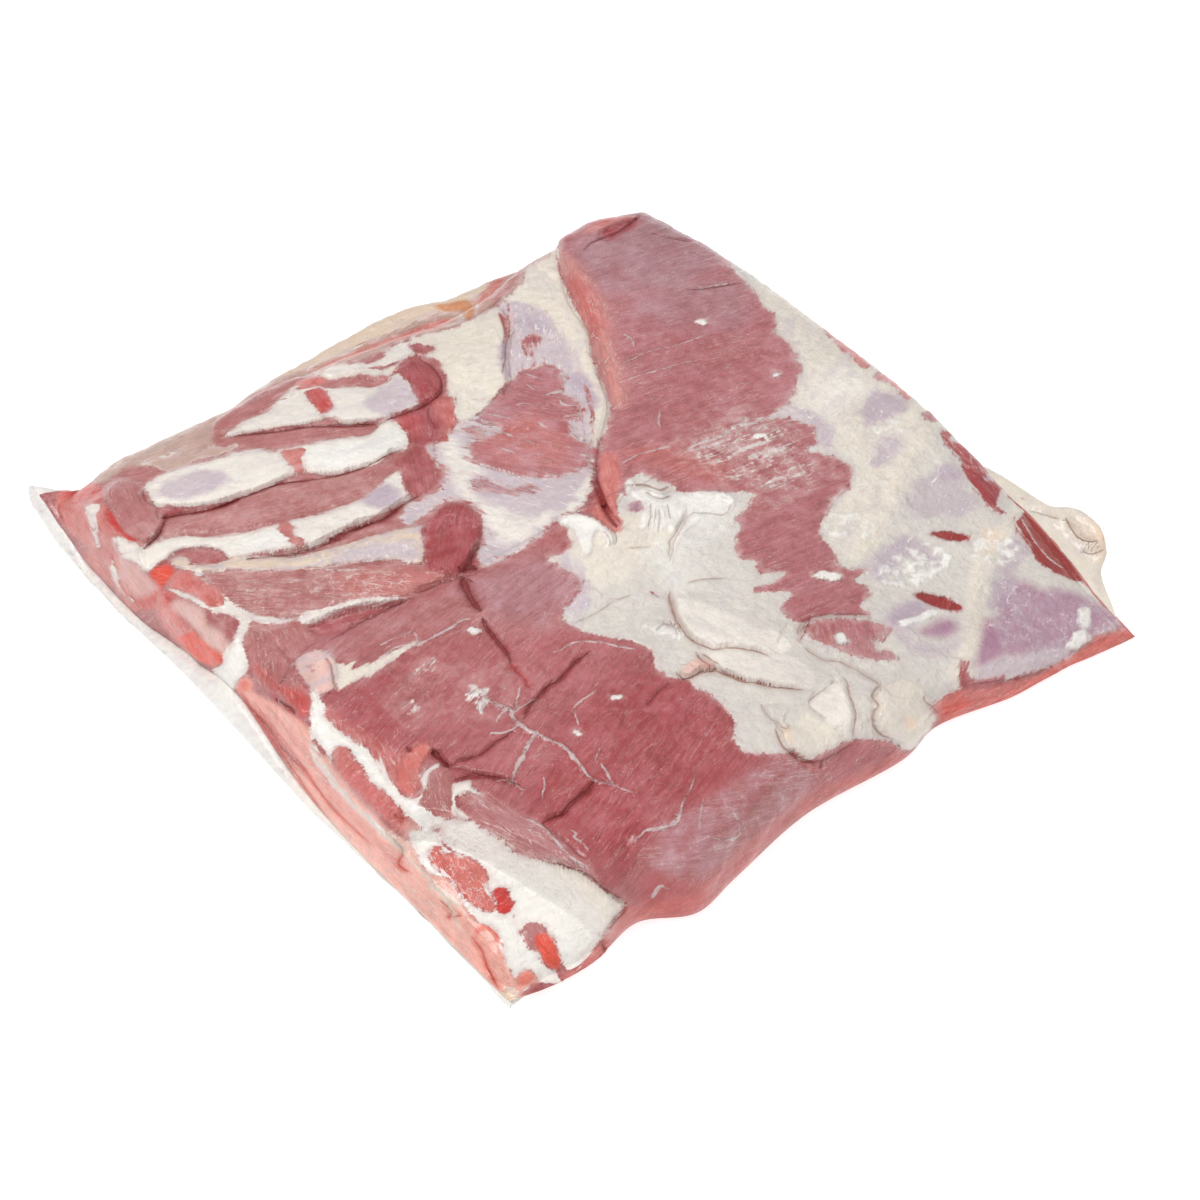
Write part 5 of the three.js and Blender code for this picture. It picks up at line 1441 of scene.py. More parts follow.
    @classmethod
    def drawn(cls) -> "TissueMap":
        """Draws every region, lip, stroke and crumb.

        Returns:
            The finished map.
        """
        tissue = cls(PLANE)
        for index, item in enumerate(REGIONS):
            tissue.region(item, index)
        for item in LIPS:
            tissue.lip(item)
        for item in STROKES:
            tissue.stroke(item)
        tissue.roughen()
        for item in CRUMBS:
            tissue.crumbs(item)
        return tissue


# ---------------------------------------------------------------- the slab's plain shape
class PlanPatch:
    """A four-sided patch of plan between four smooth sides."""

    def __init__(self, sides: dict[str, Points]) -> None:
        """Keeps the sides as curves.

        Args:
            sides: left, right, front and back, each from the front or the left end.
        """
        self.side = {name: PlanCurve(points, step=1.0) for name, points in sides.items()}

    def at(self, u: np.ndarray, v: np.ndarray) -> np.ndarray:
        """Coons patch: the two ruled surfaces between facing sides, less the one between the corners.

        Args:
            u: share from left to right.
            v: share from front to back.

        Returns:
            Rows of plan x and y.
        """
        left, right = self.side["left"].at(v), self.side["right"].at(v)
        front, back = self.side["front"].at(u), self.side["back"].at(u)
        u, v = u[..., None], v[..., None]
        corner = {name: curve.at(np.array([0.0, 1.0])) for name, curve in self.side.items()}
        ruled = left * (1 - u) + right * u + front * (1 - v) + back * v
        both = (
            corner["left"][0] * (1 - u) * (1 - v) + corner["right"][0] * u * (1 - v)
            + corner["left"][1] * (1 - u) * v + corner["right"][1] * u * v
        )
        return ruled - both


class PlainShape:
    """Heights of the two layers before their fine relief, in mm.

    They are sums of steps and bumps whose starts, stops, centres and reaches are plan places in mm.
    Each swell has a centre in x and y, a reach in x and y, and a height. The shoulders climb more
    steeply than in the part's source, and the long muscle's settles at the end of its edge.
    """

    SWELLS = ((125, 110, 55, 80, 4), (-75, -110, 60, 70, 3.5), (15, -50, 45, 60, -2), (35, 70, 35, 45, -3))

    def __init__(self, sizes: SlabSizes) -> None:
        """Keeps the sizes and the great edges.

        Args:
            sizes: the slab's driving sizes.
        """
        self.sizes = sizes
        self.long_edge = PlanCurve("124,176 106,145 92,110 76,80 62,57 44,42 29,26 18,0 15,-16", step=6.0)
        self.front_edge = PlanCurve("0,3 -60,3 -100,5 -130,4 -148,-6", step=8.0)
        self.ledge_edge = PlanCurve("-152,-96 -139,-113 -127,-140 -118,-163 -112,-190", step=5.0)

    def rind_lift(self, x: np.ndarray, y: np.ndarray) -> np.ndarray:
        """How far the rind is off the floor: at the back left tip and under the flap.

        Args:
            x: plan x.
            y: plan y.

        Returns:
            Height of the rind's underside.
        """
        back_left = self.sizes.tip_lift * ease(26, 0, np.hypot(x + 163, y - 187))
        flap = self.sizes.flap_lift * ease(186, 198, x) * np.exp(-(((y + 114) / 22) ** 4))
        return back_left + flap

    def fat_top(self, x: np.ndarray, y: np.ndarray) -> np.ndarray:
        """Top of the back fat, under the lean and on the rim beyond it.

        Args:
            x: plan x.
            y: plan y.

        Returns:
            Height of the top.
        """
        s = self.sizes
        back = s.back_fat * ease(112, 182, y) * ease(-110, -30, x) * ease(168, 95, x)
        front = s.front_thinning * ease(-90, -158, y)
        right = s.right_thinning * ease(120, 175, x) * ease(40, -60, y)
        flap = s.flap_fat * ease(185, 198, x) * np.exp(-(((y + 116) / 20) ** 4))
        inner = s.fat_depth + back - front - right + flap
        left = 3.2 + 12.5 * bump(y, 18, 28) + 2.5 * bump(y, 60, 25) + 12 * ease(135, 172, y)
        return inner + (left - inner) * ease(-118, -158, x) + self.rind_lift(x, y)

    def _shoulder(self, edge: PlanCurve, x: np.ndarray, y: np.ndarray, settle: float = 0.0) -> np.ndarray:
        """A muscle's rounded shoulder on the left of its edge, fading out further in.

        Args:
            edge: the muscle's edge.
            x: plan x.
            y: plan y.
            settle: how far both sides meet halfway towards the edge's end, from 0 to 1.

        Returns:
            The height that it adds.
        """
        distance, side, share = edge.measure(x, y)
        raised = ease(-3, 3, distance * side)
        raised = raised + (0.5 - raised) * settle * ease(0.76, 0.97, share)
        return self.sizes.shoulder * raised * ease(60, 8, distance)

    def lean_top(self, x: np.ndarray, y: np.ndarray) -> np.ndarray:
        """Top of the lean: level, thin at the flank, low at two corners, with its great swells.

        Args:
            x: plan x.
            y: plan y.

        Returns:
            Height of the top.
        """
        s = self.sizes
        flank = ease(10, 190, np.hypot(x - 168, y + 175))
        corner = ease(0, 34, np.hypot(x + 158, y - 171))
        plain = s.flank_height + (s.height - s.flank_height) * flank
        plain = plain - s.back_fall * ease(120, 176, y) * ease(110, 40, x)
        top = s.back_corner_height + (plain - s.back_corner_height) * corner
        for cx, cy, rx, ry, height in self.SWELLS:
            top = top + height * bump(x, cx, rx) * bump(y, cy, ry)
        top = top + self._shoulder(self.long_edge, x, y, 1.0) + self._shoulder(self.front_edge, x, y)
        distance, side, _ = self.ledge_edge.measure(x, y)
        ledge = s.ledge_back + (s.ledge_front - s.ledge_back) * ease(-105, -178, y)
        on_ledge = ease(-s.ledge_rise, s.ledge_rise, -distance * side) * ease(-88, -104, y)
        return top + (ledge - top) * on_ledge

    def lean_underside(self, x: np.ndarray, y: np.ndarray) -> np.ndarray:
        """Underside of the lean, a gap above the back fat."""
        return np.maximum(self.fat_top(x, y) + self.sizes.layer_gap, 1.0)


@dataclass(frozen=True)
class Rounding:
    """How the edges round over: each has its radius in plan and its drop in height, in mm.

    Attributes:
        left: the left edge.
        right: the right edge.
        front: the front edge.
        back: the back edge.
        width: about how wide the slab is.
        length: about how long it is.
    """

    left: tuple[float, float]
    right: tuple[float, float]
    front: tuple[float, float]
    back: tuple[float, float]
    width: float = 340.0
    length: float = 350.0

    def drop(self, u: np.ndarray, v: np.ndarray) -> np.ndarray:
        """The largest drop that any edge asks for: a quarter ellipse over its radius.

        Args:
            u: share from left to right.
            v: share from front to back.

        Returns:
            How far the top comes down.
        """
        away = (u * self.width, (1 - u) * self.width, v * self.length, (1 - v) * self.length)
        drops = []
        for distance, (radius, drop) in zip(away, (self.left, self.right, self.front, self.back)):
            t = 1 - np.clip(distance / radius, 0, 1)
            drops.append(drop * (1 - np.sqrt(1 - t * t)))
        return np.max(drops, axis=0)


@dataclass(frozen=True)
class Net:
    """A square net that covers a sheet's top and folds down over its four walls.

    Attributes:
        across: cells from left to right on the top.
        along: cells from front to back on the top.
        down: cells down a wall.
        crowd: how much closer the cells lie towards the edges.
        tiles: how many pieces each way it is cut into.
    """

    across: int
    along: int
    down: int
    crowd: float = 0.9
    tiles: int = 1

    def shares(self) -> tuple[np.ndarray, np.ndarray, np.ndarray]:
        """Net coordinates.

        A knot k rings outside the top lies on the outline, at the place that its ring, shrunk to
        the top's own square, gives it. Its level is k over the number of rings.

        Returns:
            u and v on the top or its outline, and the level down the wall from 0 to 1.
        """
        i = np.arange(-self.down, self.across + self.down + 1)[:, None].astype(float)
        j = np.arange(-self.down, self.along + self.down + 1)[None, :].astype(float)
        ring = np.maximum(np.maximum(np.maximum(-i, i - self.across), np.maximum(-j, j - self.along)), 0)
        u = (i + ring) / (self.across + 2 * ring)
        v = (j + ring) / (self.along + 2 * ring)
        return self._crowded(u), self._crowded(v), ring / self.down

    def _crowded(self, share: np.ndarray) -> np.ndarray:
        """Shares drawn closer together towards 0 and 1."""
        return 0.5 + 0.5 * np.sin((share * 2 - 1) * self.crowd) / math.sin(self.crowd)

    def windows(self) -> list[Window]:
        """Cuts the net into tiles; neighbours share their edge knots.

        Returns:
            The knots of each tile.
        """
        rows, columns = self.across + 2 * self.down, self.along + 2 * self.down
        cuts = [np.linspace(0, size, self.tiles + 1).astype(int) for size in (rows, columns)]
        return [
            (slice(cuts[0][i], cuts[0][i + 1] + 1), slice(cuts[1][j], cuts[1][j + 1] + 1))
            for i in range(self.tiles) for j in range(self.tiles)
        ]


@dataclass
class Skin:
    """One layer of the slab as a dense skin with its look stored on its points.

    Attributes:
        shape: the slab's heights.
        tissue: what grows where.
        names: names of its pieces, one for each tile of its net.
        net: its grid.
        sides: its outline.
        rounding: how its edges round over.
        swell: how far its walls bulge at half height.
        foot: how far the foot of its walls stands out.
        seed: seed of its own unevenness.
        thinnest: least depth between its top and its underside, in mm.
        wall_streaks: height of the streaks on the far walls, in mm.
    """

    CORNER_POWER = 21
    ROUNDS = 14
    ROUND_SHARE = 0.6
    RING_SHARES = (0.999, 0.985, 0.94, 0.8, 0.5, 0.2)
    WALL_COMB = {"along": (1, 1, 0), "across": (0, 0, 1.5), "own": 555.0}

    shape: PlainShape
    tissue: TissueMap
    names: tuple[str, ...]
    net: Net
    sides: dict[str, Points]
    rounding: Rounding
    swell: float
    foot: float
    seed: int
    thinnest: float = 1.2
    wall_streaks: float = 0.7

    def __post_init__(self) -> None:
        """Makes the skin's own noise."""
        self.noise = Noise(self.seed)

    def top(self, x: np.ndarray, y: np.ndarray) -> np.ndarray:
        """Height of the top before its edges round over."""
        raise NotImplementedError

    def underside(self, x: np.ndarray, y: np.ndarray) -> np.ndarray:
        """Height of the underside."""
        raise NotImplementedError

    def dressed(self, look: Look, points: np.ndarray, wall: np.ndarray) -> Look:
        """Changes the drawing's look where the drawing doesn't reach.

        Args:
            look: the drawing's look of the points.
            points: rows of x, y, z.
            wall: for each point, how far it is on a far wall, its run along it and its height.

        Returns:
            The look to store.
        """
        raise NotImplementedError

    def build(self) -> list[bpy.types.Object]:
        """Shapes the skin and stores its look.

        The plain surface is pushed along its normal by the drawing's relief. The push moves a
        point over the drawing, so it is found in rounds, each time where the last one led.

        Returns:
            The finished objects, one for each tile.
        """
        u, v, level = self.net.shares()
        plan = PlanPatch(self.sides).at(u, v)
        x, y = plan[..., 0], plan[..., 1]
        low = self.underside(x, y)
        high = np.maximum(self.top(x, y) - self.rounding.drop(u, v), low + self.thinnest)
        side_u, side_v = (2 * u - 1) ** self.CORNER_POWER, (2 * v - 1) ** self.CORNER_POWER
        size = np.maximum(np.hypot(side_u, side_v), 1e-9)
        out = np.stack([side_u / size, side_v / size], -1) * (level > 0)[..., None]
        rough = self.noise.octaves(x + y, level * 30 + x - y, 26, 3)
        push = (self.swell + 1.1 * rough) * np.sin(np.pi * level) + self.foot * ease(0.5, 1, level)
        place = np.concatenate([plan + out * push[..., None], (high + (low - high) * level)[..., None]], -1)
        normal = self._normals(place)
        far = ((level > 0) & ((u > 0.999) | (v > 0.999))) * ease(0.0, 0.3, level)
        run = np.where(u > 0.999, y, x)
        strata = self.noise.octaves(run * 0.12, place[..., 2] * 1.6, 7, 4)
        wave = 0.5 * self.noise.octaves(x, y, 18, 3)
        fade = ease(1.0, 0.75, level)
        moved, edge = place, PLANE.of(np.concatenate([plan, high[..., None]], -1))
        lift = wave * fade
        for _ in range(self.ROUNDS):
            moved = place + normal * lift[..., None]
            spot = PLANE.of(moved)
            spot += (edge - spot) * (far > 0)[..., None]
            relief = self.tissue.read(self.tissue.layer["relief"], spot)
            relief += (self.wall_streaks * strata - relief) * far
            lift += self.ROUND_SHARE * ((relief + wave) * fade - lift)
        moved[..., 2] = np.maximum(moved[..., 2], 0.0)
        wall = np.stack([far, run, moved[..., 2]], -1)
        normal = self._normals(moved)
        return [
            self._piece(name, *(part[window] for part in (moved, normal, spot, wall, plan)))
            for name, window in zip(self.names, self.net.windows())
        ]

    @staticmethod
    def _normals(place: np.ndarray) -> np.ndarray:
        """Unit normals of a net of points, outward."""
        normal = np.cross(np.gradient(place, axis=0), np.gradient(place, axis=1))
        return normal / np.maximum(np.linalg.norm(normal, axis=-1, keepdims=True), 1e-9)

    def _piece(
        self, name: str, place: np.ndarray, normal: np.ndarray, spot: np.ndarray, wall: np.ndarray,
        plan: np.ndarray,
    ) -> bpy.types.Object:
        """Closes one tile inside, by rings that shrink from its rim to its middle, and makes its mesh.

        Args:
            name: the piece's name.
            place: its net of points.
            normal: their normals.
            spot: their drawing coordinates.
            wall: their place on a far wall.
            plan: their plan places before the walls bulge.

        Returns:
            The object.
        """
        n, m = place.shape[:2]
        index = np.arange(n * m).reshape(n, m)
        corners = (index[:-1, :-1], index[1:, :-1], index[1:, 1:], index[:-1, 1:])
        quads = [np.stack(corners, -1).reshape(-1, 4)]
        loop = np.concatenate([index[:-1, 0], index[-1, :-1], index[:0:-1, -1], index[0, :0:-1]])
        nets = (place, normal, spot, wall, plan)
        place, normal, spot, wall, plan = (values.reshape(n * m, -1) for values in nets)
        rim = np.concatenate([plan[loop], place[loop, 2:]], 1)
        centre = rim.mean(0)
        points, last, count = [place], loop, n * m
        after = np.roll(np.arange(len(loop)), -1)
        for share in self.RING_SHARES:
            ring = centre + (rim - centre) * share
            ring[:, 2] = self.underside(ring[:, 0], ring[:, 1])
            ids = np.arange(count, count + len(loop))
            quads.append(np.stack([last, ids, ids[after], last[after]], -1))
            points.append(ring)
            last, count = ids, count + len(loop)
        middle = centre[None, :].copy()
        middle[:, 2] = self.underside(middle[:, 0], middle[:, 1])
        points = np.concatenate(points + [middle])
        fan = np.stack([last, np.full(len(loop), count), last[after]], -1)
        below = len(points) - n * m
        repeats = np.resize(loop, below)
        spot, wall = np.concatenate([spot, spot[repeats]]), np.concatenate([wall, wall[repeats]])
        wall[n * m:, 2] = -1.0
        quads = np.concatenate(quads)
        comb = self.tissue.comb(np.concatenate([spot[quads].mean(1), spot[fan].mean(1)]))
        far = np.concatenate([wall[quads, 0].mean(1), wall[fan, 0].mean(1)]) > 0.5
        for key, value in self.WALL_COMB.items():
            comb[key][far] = value
        normals = np.concatenate([normal, np.zeros((below, 3))])
        look = self.dressed(self.tissue.look(spot), points, wall)
        return make_mesh(name, to_part(points), quads, fan, normals, look, comb)


def to_part(points: np.ndarray) -> np.ndarray:
    """Moves points from the drawing frame, in mm, to the part's frame, in metres."""
    return (points - np.array([SIZES.centre[0], SIZES.centre[1], 0.0])) * MM


def make_mesh(
    name: str, points: np.ndarray, quads: np.ndarray, triangles: np.ndarray, normals: np.ndarray, look: Look,
    comb: Look,
) -> bpy.types.Object:
    """Makes a smooth mesh object with point and face attributes.

    Args:
        name: the piece's name.
        points: rows of x, y, z in metres.
        quads: rows of four point numbers.
        triangles: rows of three point numbers.
        normals: the points' normals, zero where Blender finds them.
        look: attribute values by name: one or three numbers a point.
        comb: the same for each face.

    Returns:
        The new object, linked to the scene.
    """
    mesh = bpy.data.meshes.new(name)
    loops = np.concatenate([quads.reshape(-1), triangles.reshape(-1)])
    sizes = np.concatenate([np.full(len(quads), 4), np.full(len(triangles), 3)])
    mesh.vertices.add(len(points))
    mesh.vertices.foreach_set("co", points.astype(np.float32).ravel())
    mesh.loops.add(len(loops))
    mesh.loops.foreach_set("vertex_index", loops.astype(np.int32))
    mesh.polygons.add(len(sizes))
    starts = np.concatenate([[0], np.cumsum(sizes)[:-1]])
    mesh.polygons.foreach_set("loop_start", starts.astype(np.int32))
    mesh.polygons.foreach_set("use_smooth", np.ones(len(sizes), bool))
    for key, values in (look | comb).items():
        kind, part = ("FLOAT", "value") if values.ndim == 1 else ("FLOAT_VECTOR", "vector")
        layer = mesh.attributes.new(key, kind, "POINT" if key in look else "FACE")
        layer.data.foreach_set(part, values.astype(np.float32).ravel())
    mesh.update()
    mesh.normals_split_custom_set_from_vertices(normals.tolist())
    piece = bpy.data.objects.new(name, mesh)
    bpy.context.collection.objects.link(piece)
    log.info("%s: %d points, %d faces", name, len(points), len(sizes))
    return piece


@dataclass
class LeanSkin(Skin):
    """The lean: all the meat, with the fat that grows over it.

    Attributes:
        seam_height: height of the seam of fat along the far walls.
        seam_half: half its thickness.
    """

    names: tuple[str, ...] = ("cut_side_quarter", "rib_quarter", "flank_quarter", "long_muscle_quarter")
    net: Net = Net(480, 500, 30, tiles=2)
    sides: dict[str, Points] = field(default_factory=LEAN_SIDES.copy)
    rounding: Rounding = Rounding(left=(7, 6), right=(24, 12), front=(20, 13), back=(16, 8))
    swell: float = 1.7
    foot: float = 2.0
    seed: int = 31
    seam_height: float = 15.0
    seam_half: float = 1.8

    def top(self, x: np.ndarray, y: np.ndarray) -> np.ndarray:
        """Top of the lean."""
        return self.shape.lean_top(x, y)

    def underside(self, x: np.ndarray, y: np.ndarray) -> np.ndarray:
        """Underside of the lean, brought down on the back fat so that no gap shows."""
        return self.shape.lean_underside(x, y) - SIZES.layer_gap * 0.9

    def dressed(self, look: Look, points: np.ndarray, wall: np.ndarray) -> Look:
        """Makes the far walls a cut: streaky meat with a wandering seam of fat along it.

        Args:
            look: the drawing's look of the points.
            points: rows of x, y, z; not used here.
            wall: how far each point is on a far wall, its run along it and its height.

        Returns:
            The look to store.
        """
        far, run, height = wall.T
        seam = self.noise.octaves(run, run * 0.3, 55, 3) * 5 + self.seam_height
        band = self.seam_half - np.abs(height - seam) + 1.5 * self.noise.octaves(run, height * 4, 9, 3)
        look["rim"] = look["rim"] * (1 - far) + np.clip(band * 1.2, -10, 10) * far
        near_seam = ease(-0.4, 0.4, band + 3)[:, None]
        cut = Tint.CORAL.linear + (Tint.DUSTY.linear - Tint.CORAL.linear) * near_seam
        look["meat"] += (cut - look["meat"]) * far[:, None]
        look["marks"][:, 0] = np.maximum(look["marks"][:, 0], 0.8 * far)
        return look


@dataclass
class BackFatSkin(Skin):
    """The back fat with its rind."""

    names: tuple[str, ...] = ("back_fat_skin",)
    net: Net = Net(226, 240, 14, crowd=1.15)
    sides: dict[str, Points] = field(default_factory=FAT_SIDES.copy)
    rounding: Rounding = Rounding(left=(3, 0.8), right=(6, 3), front=(5, 1), back=(7, 5))
    swell: float = 0.6
    foot: float = 0.0
    seed: int = 32

    def top(self, x: np.ndarray, y: np.ndarray) -> np.ndarray:
        """Top of the back fat."""
        return self.shape.fat_top(x, y)

    def underside(self, x: np.ndarray, y: np.ndarray) -> np.ndarray:
        """The rind's underside."""
        return self.shape.rind_lift(x, y)

    def dressed(self, look: Look, points: np.ndarray, wall: np.ndarray) -> Look:
        """Makes it fat all over but on the back rim, with tan rind below and a peach curl at the flap.

        Args:
            look: the drawing's look of the points.
            points: rows of x, y, z.
            wall: how far each point is on a far wall, its run along it and its height.

        Returns:
            The look to store.
        """
        x, y = points[:, 0], points[:, 1]
        back_rim, flap_rim = ease(158, 170, y) * ease(-158, -146, x), ease(184, 190, x) * ease(-70, -82, y)
        rim_side = np.maximum(back_rim, flap_rim) * (1 - wall[:, 0])
        look["rim"] = look["rim"] * rim_side + 10 * (1 - rim_side)
        for tint, share in (
            (Tint.WHITE, 1 - rim_side), (Tint.CREAM, ease(150, 175, x)),
            (Tint.PEACH, ease(186, 198, x) * bump(y, -128, 12)), (Tint.TAN, wall[:, 2] < 0),
        ):
            look["fat"] += (tint.linear - look["fat"]) * np.asarray(share, float)[:, None]
        look["marks"][:, 1:] *= rim_side[:, None]
        look["crease"][:, 1] *= rim_side
        look["vein"][:, 1] *= rim_side
        return look


# ---------------------------------------------------------------- shader building
class Graph:
    """A material's node tree, built by typed calls."""

    def __init__(self, name: str) -> None:
        """Makes an empty node material.

        Args:
            name: the material's name.
        """
        self.material = bpy.data.materials.new(name)
        self.material.use_nodes = True
        self.tree = self.material.node_tree
        self.tree.nodes.clear()

    def node(self, kind: str, settings: dict | None = None, inputs: dict | None = None) -> bpy.types.Node:
        """Adds a node.

        Args:
            kind: its type.
            settings: properties, set first.
            inputs: values or links by socket name or number.

        Returns:
            The node.
        """
        node = self.tree.nodes.new(kind)
        for key, value in (settings or {}).items():
            setattr(node, key, value)
        for key, value in (inputs or {}).items():
            socket = node.inputs[key]
            if isinstance(value, Value):
                self.tree.links.new(value.socket, socket)
            elif isinstance(value, (tuple, np.ndarray)) and socket.type == "RGBA":
                socket.default_value = (*(float(v) for v in value[:3]), 1.0)
            else:
                socket.default_value = value
        return node

    def value(
        self, kind: str, output: str | int, settings: dict | None = None, inputs: dict | None = None
    ) -> "Value":
        """Adds a node and reads one of its outputs."""
        return Value(self, self.node(kind, settings, inputs).outputs[output])

    def attribute(self, name: str, output: str = "Vector") -> "Value":
        """Reads a point or face attribute."""
        return self.value("ShaderNodeAttribute", output, {"attribute_name": name})

    def noise(
        self, vector: "Value", scale: float, detail: float = 3.0, rough: float = 0.55, distort: float = 0.0
    ) -> "Value":
        """Noise from 0 to 1."""
        form = {"Scale": scale, "Detail": detail, "Roughness": rough, "Distortion": distort}
        return self.value("ShaderNodeTexNoise", "Fac", None, {"Vector": vector} | form)

    def swing(
        self, vector: "Value", scale: float, detail: float = 3.0, rough: float = 0.6, distort: float = 0.0
    ) -> "Value":
        """Noise from about -1 to 1."""
        return (self.noise(vector, scale, detail, rough, distort) - 0.5) * 4.0

    def cracks(self, vector: "Value", scale: float) -> "Value":
        """Distance to the nearest cell border of a Voronoi pattern."""
        settings = {"feature": "DISTANCE_TO_EDGE"}
        return self.value("ShaderNodeTexVoronoi", "Distance", settings, {"Vector": vector, "Scale": scale})

    def step(self, value: "Value", low: float, high: float) -> "Value":
        """Smooth step from 0 at low to 1 at high; low may be the larger."""
        inputs = {"Value": value, "From Min": low, "From Max": high, "To Min": 0.0, "To Max": 1.0}
        return self.value("ShaderNodeMapRange", "Result", {"interpolation_type": "SMOOTHSTEP"}, inputs)

    def mix(
        self, share: "Value | float", first: "Value | Colour", second: "Value | Colour", blend: str = "MIX"
    ) -> "Value":
        """Mixes two colours."""
        settings = {"data_type": "RGBA", "blend_type": blend}
        return self.value("ShaderNodeMix", 2, settings, {0: share, 6: first, 7: second})

    def toned(self, colour: "Value", tone: "Value") -> "Value":
        """A colour made lighter or darker by a factor."""
        return self.mix(1.0, colour, self.joined(tone, tone, tone), "MULTIPLY")

    def scaled(self, vector: "Value", factor: float) -> "Value":
        """Multiplies a vector by a number."""
        return self.value("ShaderNodeVectorMath", "Vector", {"operation": "SCALE"}, {0: vector, 3: factor})

    def dot(self, first: "Value", second: "Value") -> "Value":
        """Dot product of two vectors."""
        settings = {"operation": "DOT_PRODUCT"}
        return self.value("ShaderNodeVectorMath", "Value", settings, {0: first, 1: second})

    def joined(self, x: "Value | float", y: "Value | float", z: "Value | float") -> "Value":
        """A vector of three numbers."""
        return self.value("ShaderNodeCombineXYZ", "Vector", None, {"X": x, "Y": y, "Z": z})

    def parts(self, vector: "Value") -> tuple["Value", "Value", "Value"]:
        """The three numbers of a vector."""
        node = self.node("ShaderNodeSeparateXYZ", None, {"Vector": vector})
        return tuple(Value(self, node.outputs[axis]) for axis in "XYZ")


@dataclass(frozen=True)
class Value:
    """A shader socket that takes part in sums."""

    graph: Graph
    socket: bpy.types.NodeSocket

    def _do(self, operation: str, *terms: "Value | float") -> "Value":
        """Adds a Math node over some terms."""
        return self.graph.value("ShaderNodeMath", 0, {"operation": operation}, dict(enumerate(terms)))

    def __add__(self, other: "Value | float") -> "Value":
        """Sum."""
        return self._do("ADD", self, other)

    __radd__ = __add__

    def __sub__(self, other: "Value | float") -> "Value":
        """Difference."""
        return self._do("SUBTRACT", self, other)

    def __rsub__(self, other: float) -> "Value":
        """Difference from a number."""
        return self._do("SUBTRACT", other, self)

    def __mul__(self, other: "Value | float") -> "Value":
        """Product."""
        return self._do("MULTIPLY", self, other)

    __rmul__ = __mul__

    def __abs__(self) -> "Value":
        """Distance from zero."""
        return self._do("ABSOLUTE", self)

    def at_most(self, other: "Value | float") -> "Value":
        """The smaller of the two."""
        return self._do("MINIMUM", self, other)

    def at_least(self, other: "Value | float") -> "Value":
        """The larger of the two."""
        return self._do("MAXIMUM", self, other)


